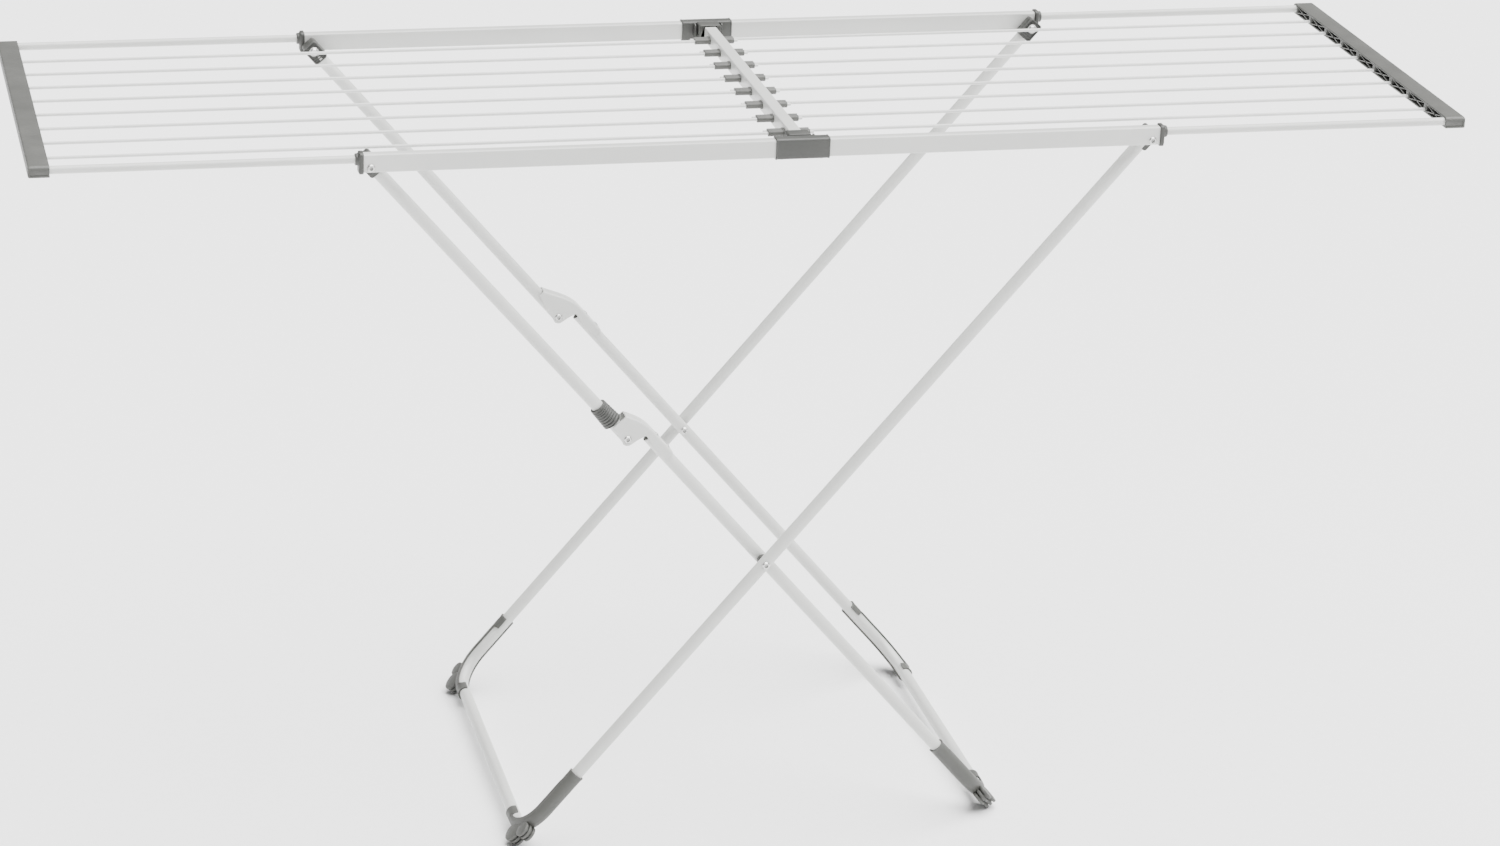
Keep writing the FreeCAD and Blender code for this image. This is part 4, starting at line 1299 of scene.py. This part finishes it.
@dataclass
class KneeBracket:
    """The pressed channel that carries the knee pin over the lower tube's end."""

    side: Side
    lines: LegLines
    upper_end: float
    lower_end: float = 55.0
    sheet: float = 1.5
    gap: float = 1.5
    nose: float = 8.5
    press: float = 3.0

    def web(self, along: Array) -> Array:
        """Height of the web's outer face: an arch up from the tongue, level past the pin."""
        flat = self.lines.knee_offset + self.lines.radius + self.sheet
        low = self.lines.radius + 0.3 + self.sheet
        share = np.clip((along + 42.0) / 54.0, 0.0, 1.0)
        return low + (flat - low) * np.sin(share * math.pi / 2) ** 1.15

    def hem(self, along: Array) -> Array:
        """Height of the sides' lower edge: down to the nose round the pin, up at the lower tube."""
        tongue = np.interp(along, [-42.0, 2.0], [1.0, -self.nose])
        front = -np.sqrt(np.clip(self.nose ** 2 - along ** 2, 0.0, None))
        rise = np.interp(along, [self.nose, 9.5, 12.5, 30.0],
                         [0.0, 9.0, self.lines.knee_offset - 0.5, self.lines.knee_offset - 3.0])
        return np.where(along < 1.0, tongue, np.where(along < self.nose, front, rise))

    def build(self, shop: Shop) -> None:
        """Fold the sheet: each station's section runs down one side, over the web and down the other."""
        name = f"{self.side.word}_knee_bracket"
        along = np.unique(np.concatenate([np.linspace(-self.upper_end, 18.0, 60),
                                          np.linspace(18.0, self.lower_end, 12),
                                          np.linspace(1.0, self.nose, 14)]))
        web, hem = self.web(along), self.hem(along)
        half = self.lines.radius + self.gap + self.sheet
        ease = np.clip((self.lower_end - along) / 3.0, 0.0, 1.0)
        hem = hem + 3.0 * (1 - np.sqrt(1 - (1 - ease) ** 2))
        outer = self.section(web, hem, half, self.press)
        inner = self.section(web - self.sheet, hem, half - self.sheet, self.press - 1.0)
        sections = np.concatenate([outer, inner[:, ::-1]], axis=1)
        sign = self.side.value
        base = self.lines.knee + Y_AXIS * sign * self.lines.inner_y
        origin = base + along[:, None] * self.lines.inner_down
        ones = np.ones((len(along), 1))
        line = Stations(origin, ones * Y_AXIS, ones * self.lines.inner_side)
        shells = [lattice(line.carry(sections), False, True)]
        shop.piece(f"{name}_pressing", shells, Finish.WHITE_STEEL, "lower_legs", [name])

    @staticmethod
    def section(web: Array, hem: Array, half: float, corner: float) -> Array:
        """An upside-down U at every station: straight sides, quarter-round corners, level web."""
        turn = np.linspace(0.0, math.pi / 2, 7)
        corner_y = half - corner + corner * np.cos(turn)
        corner_z = web[:, None] - corner + corner * np.sin(turn)
        share = np.linspace(0.0, 1.0, 5)[:-1]
        side_z = hem[:, None] + (corner_z[:, :1] - hem[:, None]) * share
        right_y = np.concatenate([np.full(len(share), half), corner_y])
        right_z = np.concatenate([side_z, corner_z], axis=1)
        y = np.concatenate([right_y, -right_y[::-1]])
        z = np.concatenate([right_z, right_z[:, ::-1]], axis=1)
        return np.stack([np.broadcast_to(y, z.shape), z], axis=-1)


@dataclass
class FootClip:
    """The shell snapped round a bend, with a raised rim and ribbed pads to stand on."""

    node: str
    body: str
    side: Side
    line: FrameLine
    tube: float = 8.0
    wall: float = 2.5
    leg_length: float = 62.0
    cross_length: float = 20.0
    snap: float = 104.0
    tab: float = 156.0
    tab_length: float = 18.0
    lobe_reach: float = 61.0
    lobe_width: float = 16.0
    lobes: tuple[tuple[float, float], ...] = ((60.0, 14.0), (40.0, 10.5))
    plate_starts: tuple[float, ...] = (0.0, 6.0, 12.0)

    def build(self, shop: Shop) -> None:
        """Make the far shell and pads; the near clip is their mirror image."""
        shells = on_side([self.wrap()] + self.pads(), self.side)
        shop.piece(f"{self.node}_moulding", shells, Finish.GREY_PLASTIC, self.body, [self.node], 40.0)

    def wrap(self) -> Shell:
        """A band of an angle round the tube, cut back at its ends, thicker along its rims.

        Returns:
            The closed shell.
        """
        top = self.line.length - self.line.bend - self.leg_length
        points, travel = self.line.half(top, self.cross_length, 24, 26, 8)
        stations = self.line.stations(points, travel)
        steps = np.linalg.norm(np.diff(points, axis=0), axis=1)
        gone = np.concatenate([[0.0], np.cumsum(steps)])
        left = gone[-1] - gone
        nearest = np.minimum(gone, left)
        tabbed = np.radians(np.interp(nearest, [0.0, self.tab_length, self.tab_length + 2.0],
                                      [self.tab, self.tab, self.snap]))
        plain = np.full_like(nearest, math.radians(self.snap))
        over, under = (tabbed, plain) if stations.up[0, 2] > 0 else (plain, tabbed)
        share = np.linspace(-1.0, 1.0, 37)
        angle = np.where(share > 0, over[:, None], under[:, None]) * share
        edge = np.clip((np.abs(share) - 0.9) / 0.04, 0.0, 1.0)[None]
        end_rim = np.clip(1 - (nearest - 1.5) / 2.0, 0.0, 1.0)[:, None]
        thick = self.wall - 0.5 + 0.5 * np.maximum(edge, end_rim)
        outer = self.arc(self.tube + thick, angle)
        inner = self.arc(np.full_like(angle, self.tube + 0.04), angle)
        return lattice(stations.carry(np.concatenate([outer, inner[:, ::-1]], axis=1)), False, True)

    @staticmethod
    def arc(radius: Array, angle: Array) -> Array:
        """Points at a radius and an angle from the outward direction."""
        return np.stack([radius * np.cos(angle), radius * np.sin(angle)], axis=-1)

    def pads(self) -> list[Shell]:
        """Two round lobes outside the bend, each of three thin plates, flat where they stand.

        Returns:
            The plates and their spines, on the far side.
        """
        bend = self.line.start + self.line.down * (self.line.length - self.line.bend)
        bend = bend + Y_AXIS * (self.line.y - self.line.bend)
        across = unit(np.cross(self.line.down, Y_AXIS))
        shells = []
        for degrees, radius in self.lobes:
            turn = math.radians(degrees)
            place = bend + self.lobe_reach * (math.sin(turn) * self.line.down + math.cos(turn) * Y_AXIS)
            for start in self.plate_starts:
                profile = [(2.0, 0.0), (radius - 1.1, 0.0), (radius - 0.3, 0.35), (radius, 1.1),
                           (radius, 2.9), (radius - 0.3, 3.65), (radius - 1.1, 4.0), (2.0, 4.0)]
                foot = place + across * (start - self.lobe_width / 2)
                shells.append(lathe(profile, foot, across, 48).above(0.0))
            spine = [(2.0, 0.4), (radius - 3.0, 0.4), (radius - 3.0, 15.6), (2.0, 15.6)]
            shells.append(lathe(spine, place - across * self.lobe_width / 2, across, 40).above(0.4))
        return shells


@dataclass
class Fasteners:
    """Bolts, washers, rivets and pins, each turned from its own profile."""

    lines: LegLines
    shank: float = 3.0
    head: float = 5.0
    head_height: float = 2.2
    hole: float = 2.3
    hole_depth: float = 7.0

    def eyelet(self, centre: Array, low: float, high: float, way: int) -> Shell:
        """A shank along Y with one hollow head: a rolled rim round a deep hole.

        Args:
            centre: Point of the axis.
            low: Where the shank starts.
            high: Where the shank ends.
            way: 1 for a head above high, -1 for one below low.

        Returns:
            The closed shell.
        """
        start = high if way > 0 else low
        length = high - low
        profile = [(0.4, -length), (self.shank - 0.3, -length), (self.shank, 0.3 - length), (self.shank, 0.0)]
        profile += self.rolled_head()[::-1] + [(self.hole, self.head_height - self.hole_depth),
                                               (0.3, self.head_height - self.hole_depth)]
        return lathe(profile, np.array([centre[0], start, centre[2]]), way * Y_AXIS, 36)

    def rolled_head(self) -> list[tuple[float, float]]:
        """The head's profile from the hole's mouth over the rolled rim to its seat."""
        height, edge = self.head_height, self.head
        return [(self.hole, height * 0.7), (self.hole + 0.25, height * 0.93), (self.hole + 0.8, height),
                (self.hole + 1.5, height * 0.93), (edge - 0.4, height * 0.5), (edge, height * 0.12),
                (edge * 0.97, 0.0)]

    def washer(self, centre: Array, low: float, high: float, radius: float, bore: float) -> Shell:
        """A flat ring along Y with soft edges."""
        tall = high - low
        profile = [(bore, 0.1), (bore + 0.1, 0.0), (radius - 0.2, 0.0), (radius, 0.2), (radius, tall - 0.2),
                   (radius - 0.2, tall), (bore + 0.1, tall), (bore, tall - 0.1)]
        return lathe(profile, np.array([centre[0], low, centre[2]]), Y_AXIS, 40, hollow=True)

    def build(self, shop: Shop) -> None:
        """Make every set of fasteners."""
        lines = self.lines
        for word, pivot in (("inner", lines.left_pivot), ("outer", lines.right_pivot)):
            low, high = self.far_range(f"{word}_leg_pivot_bolts")
            low, high = low + self.head_height, high - self.head_height
            shells = both_sides([self.eyelet(pivot, low, high, 1), self.eyelet(pivot, low, high, -1)])
            shop.piece(f"{word}_pivot_bolt_set", shells, Finish.ZINC_STEEL, "table",
                       [f"{word}_leg_pivot_bolts"])
            low, high = self.far_range(f"{word}_leg_pivot_washers")
            shells = both_sides([self.washer(pivot, low, high, 6.0, 3.0)])
            shop.piece(f"{word}_pivot_washer_set", shells, Finish.ZINC_STEEL, "table",
                       [f"{word}_leg_pivot_washers"])
        for node, way, body in (("crossing_rivets", 1, "outer_legs"),
                                ("crossing_rivet_ends", -1, "lower_legs")):
            low, high = self.far_range(node)
            low, high = (low, high - self.head_height) if way > 0 else (low + self.head_height, high)
            shells = both_sides([self.eyelet(lines.crossing, low, high, way)])
            shop.piece(f"{node}_set", shells, Finish.ZINC_STEEL, body, [node])
        low, high = self.far_range("crossing_spacers")
        shells = both_sides([self.washer(lines.crossing, low, high, 7.5, 3.0)])
        shop.piece("crossing_spacer_set", shells, Finish.DARK_PLASTIC, "outer_legs", ["crossing_spacers"])
        self.build_knee_pins(shop)
        self.build_small_rivets(shop)

    @staticmethod
    def far_range(node: str) -> tuple[float, float]:
        """Lowest and highest Y of a mirrored pair's far half."""
        low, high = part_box(node)
        points = np.array([v.co[1] for v in frame["nodes"][node].data.vertices]) / MM
        return float(points[points > 0].min()), high[1] / MM

    def build_knee_pins(self, shop: Shop) -> None:
        """Hollow eyelets through the brackets: a rolled rim round a sunk middle."""
        low, high = self.far_range("knee_pins")
        height = self.head_height
        length = high - low - 2 * height
        depth = height - self.hole_depth
        face = [(0.3, depth), (self.hole, depth)] + self.rolled_head() + [(self.shank, 0.0)]
        profile = face + [(r, -length - h) for r, h in face[::-1]]
        knee = self.lines.knee
        shells = both_sides([lathe(profile, np.array([knee[0], high - height, knee[2]]), Y_AXIS, 36)])
        shop.piece("knee_pin_set", shells, Finish.ZINC_STEEL, "lower_legs", ["knee_pins"])

    def build_small_rivets(self, shop: Shop) -> None:
        """Domed rivets on the knee brackets and under the saddles."""
        lines = self.lines
        seat = lines.knee_offset + lines.radius + 1.5
        profile = [(0.4, -5.0), (2.0, -5.0), (2.0, 0.0), (3.5, 0.0), (3.6, 0.3)]
        profile += [(r, 0.3 + h) for r, h in dome(3.6, 1.1)[1:]]
        knee_set = both_sides([
            lathe(profile, lines.knee_place(along, seat, lines.inner_y), lines.inner_side, 28)
            for along in (47.0, 25.0)])
        shop.piece("knee_bracket_rivet_set", knee_set, Finish.ZINC_STEEL, "lower_legs",
                   ["knee_bracket_rivets"])
        low, high = node_box("saddle_rivets")
        across = high[1] - 3.6
        saddle_set = both_sides([
            lathe(profile, np.array([x, across, low[2] + 1.4]), -Z_AXIS, 28)
            for x in (low[0] + 3.6, high[0] - 3.6)])
        shop.piece("saddle_rivet_set", saddle_set, Finish.ZINC_STEEL, "table", ["saddle_rivets"])


@dataclass
class Legs:
    """Both leg frames with their fittings, brackets, collar and feet."""

    lines: LegLines = field(default_factory=LegLines)
    outer_trim: float = 6.0
    inner_trim: float = 19.0
    tongues: tuple[tuple[Side, float], ...] = ((Side.FAR, 42.0), (Side.NEAR, 25.0))

    def build(self, shop: Shop) -> None:
        """Make the two frames and everything fixed to them."""
        lines = self.lines
        outer = FrameLine(lines.right_pivot, lines.outer_down, lines.outer_length, lines.outer_y,
                          lines.bend, self.outer_trim)
        inner = FrameLine(lines.lower_origin, lines.inner_down, lines.lower_length, lines.inner_y,
                          lines.bend, self.inner_trim)
        LegFrame("outer_leg_frame", "outer_legs", outer, lines.radius, lines.wall).build(shop)
        LegFrame("inner_leg_frame", "lower_legs", inner, lines.radius, lines.wall).build(shop)
        for side in Side:
            word = side.word
            UpperLeg(side, lines).build(shop)
            LegFitting(f"{word}_outer_leg_fitting", "outer_legs", side, lines.right_pivot,
                       lines.outer_down).build(shop)
            LegFitting(f"{word}_upper_leg_fitting", "upper_legs", side, lines.left_pivot,
                       lines.inner_down).build(shop)
            FootClip(f"{word}_outer_foot_clip", "outer_legs", side, outer).build(shop)
            FootClip(f"{word}_inner_foot_clip", "lower_legs", side, inner).build(shop)
            KneeBracket(side, lines, dict(self.tongues)[side]).build(shop)
        LockCollar(UpperLeg(Side.NEAR, lines)).build(shop)
        Fasteners(lines).build(shop)


@dataclass
class Table:
    """The rails, their caps, the middle bar and its saddles."""

    def build(self, shop: Shop) -> None:
        """Make each piece of the table."""
        for side in Side:
            Rail(side).build(shop)
            Saddle(side).build(shop)
            for end in End:
                RailCap(side, end).build(shop)
        MiddleBar().build(shop)


# ---- studio
@dataclass
class Studio:
    """A white floor, soft lights and the camera."""

    floor_radius: float = 60.0
    sky_seen: float = 2.9
    sky_light: float = 0.35
    camera_place: tuple[float, float, float] = (-1.2076, -5.1399, 2.4546)
    camera_right: tuple[float, float, float] = (0.98207, -0.18727, 0.02171)
    camera_up: tuple[float, float, float] = (0.0478, 0.35875, 0.93221)
    lens: float = 102.5
    shift: tuple[float, float] = (0.12, 0.03)
    sun_power: float = 11.0
    sun_spread: float = 70.0

    def build(self) -> None:
        """Set up the floor, the sky, the lights and the camera."""
        self.lay_floor()
        self.light_sky()
        self.hang_sun((1.2, -0.25, 4.0))
        self.hang_light("side", (3.6, -3.4, 2.8), (0.0, 0.0, 0.7), 1.6, 40.0)
        self.place_camera()

    def lay_floor(self) -> None:
        """A round floor: rings of points whose radius grows with the square of the step."""
        rings = np.linspace(0.02, 1.0, 10) ** 2 * self.floor_radius
        turn = np.arange(96) * (2 * math.pi / 96)
        grid = np.stack([rings[:, None] * np.cos(turn), rings[:, None] * np.sin(turn),
                         np.full((10, 96), -0.0004)], axis=-1)
        index = np.arange(960).reshape(10, 96)
        quads = np.stack([index[:-1], np.roll(index, -1, 1)[:-1], np.roll(index, -1, 1)[1:], index[1:]], -1)
        faces = quads.reshape(-1, 4)[:, ::-1].tolist() + [index[0].tolist()]
        mesh = bpy.data.meshes.new("studio_floor")
        mesh.from_pydata(grid.reshape(-1, 3).tolist(), [], faces)
        floor = bpy.data.objects.new("studio_floor", mesh)
        bpy.context.scene.collection.objects.link(floor)
        mesh.materials.append(self.floor_material())

    @staticmethod
    def floor_material() -> bpy.types.Material:
        """White matt paper with a trace of fibre."""
        material, sheet = blank_material("studio_paper")
        place = sheet.add("ShaderNodeTexCoord").outputs["Object"]
        fibre = sheet.ramp(sheet.noise(place, 90.0, 3.0), 0.3, 0.7)
        colour = sheet.mix(fibre, (0.93, 0.93, 0.93, 1.0), (0.95, 0.95, 0.95, 1.0))
        shader = sheet.add("ShaderNodeBsdfPrincipled", {"Base Color": colour, "Roughness": 0.9})
        shader.inputs["Specular IOR Level"].default_value = 0.1
        sheet.add("ShaderNodeOutputMaterial", {"Surface": shader.outputs["BSDF"]})
        return material

    def light_sky(self) -> None:
        """An even white sky, as bright as the floor where it is seen and dimmer as a light."""
        world = bpy.data.worlds.new("studio_sky")
        world.use_nodes = True
        world.node_tree.nodes["Background"].inputs["Color"].default_value = (1.0, 1.0, 1.0, 1.0)
        sheet = NodeSheet(world.node_tree)
        seen = sheet.add("ShaderNodeLightPath").outputs["Is Camera Ray"]
        more = sheet.maths("MULTIPLY", seen, self.sky_seen - self.sky_light)
        strength = sheet.maths("ADD", more, self.sky_light)
        world.node_tree.links.new(strength, world.node_tree.nodes["Background"].inputs["Strength"])
        bpy.context.scene.world = world

    def hang_sun(self, place: tuple[float, float, float]) -> None:
        """A wide soft light over everything, shining from a place towards the origin."""
        light = bpy.data.lights.new("skylight", "SUN")
        light.energy = self.sun_power
        light.angle = math.radians(self.sun_spread)
        self.aim(light, place, (0.0, 0.0, 0.0))

    @staticmethod
    def aim(light: bpy.types.Light, place: tuple[float, float, float],
            target: tuple[float, float, float]) -> None:
        """Hang a lamp at a place, facing a target."""
        lamp = bpy.data.objects.new(light.name, light)
        lamp.location = place
        lamp.rotation_euler = (Vector(place) - Vector(target)).to_track_quat("Z", "Y").to_euler()
        bpy.context.scene.collection.objects.link(lamp)

    def hang_light(self, name: str, place: tuple[float, float, float],
                   target: tuple[float, float, float], size: float, power: float) -> None:
        """A square soft light that faces a target."""
        light = bpy.data.lights.new(name, "AREA")
        light.size = size
        light.energy = power
        self.aim(light, place, target)

    def place_camera(self) -> None:
        """A long lens from the front left, a little above the table."""
        data = bpy.data.cameras.new("camera")
        data.sensor_width = 36.0
        data.lens = self.lens
        data.shift_x, data.shift_y = self.shift
        data.clip_start, data.clip_end = 0.05, 60.0
        data.dof.use_dof = False
        camera = bpy.data.objects.new("camera", data)
        right = Vector(self.camera_right).normalized()
        up = Vector(self.camera_up).normalized()
        turn = Matrix((right, up, right.cross(up))).transposed()
        camera.matrix_world = Matrix.Translation(Vector(self.camera_place)) @ turn.to_4x4()
        bpy.context.scene.collection.objects.link(camera)
        bpy.context.scene.camera = camera


def main() -> None:
    """Build the studio and the rack, then dress the nodes that stay."""
    logging.basicConfig(level=logging.INFO, format="%(name)s %(message)s")
    Studio().build()
    shop = Shop()
    Table().build(shop)
    for end in End:
        Wing(end).build(shop)
    Legs().build(shop)
    shop.dress_kept({part["node"]: part["material_slot"] for part in frame["record"]["subparts"]})


if __name__ == "__main__":
    main()
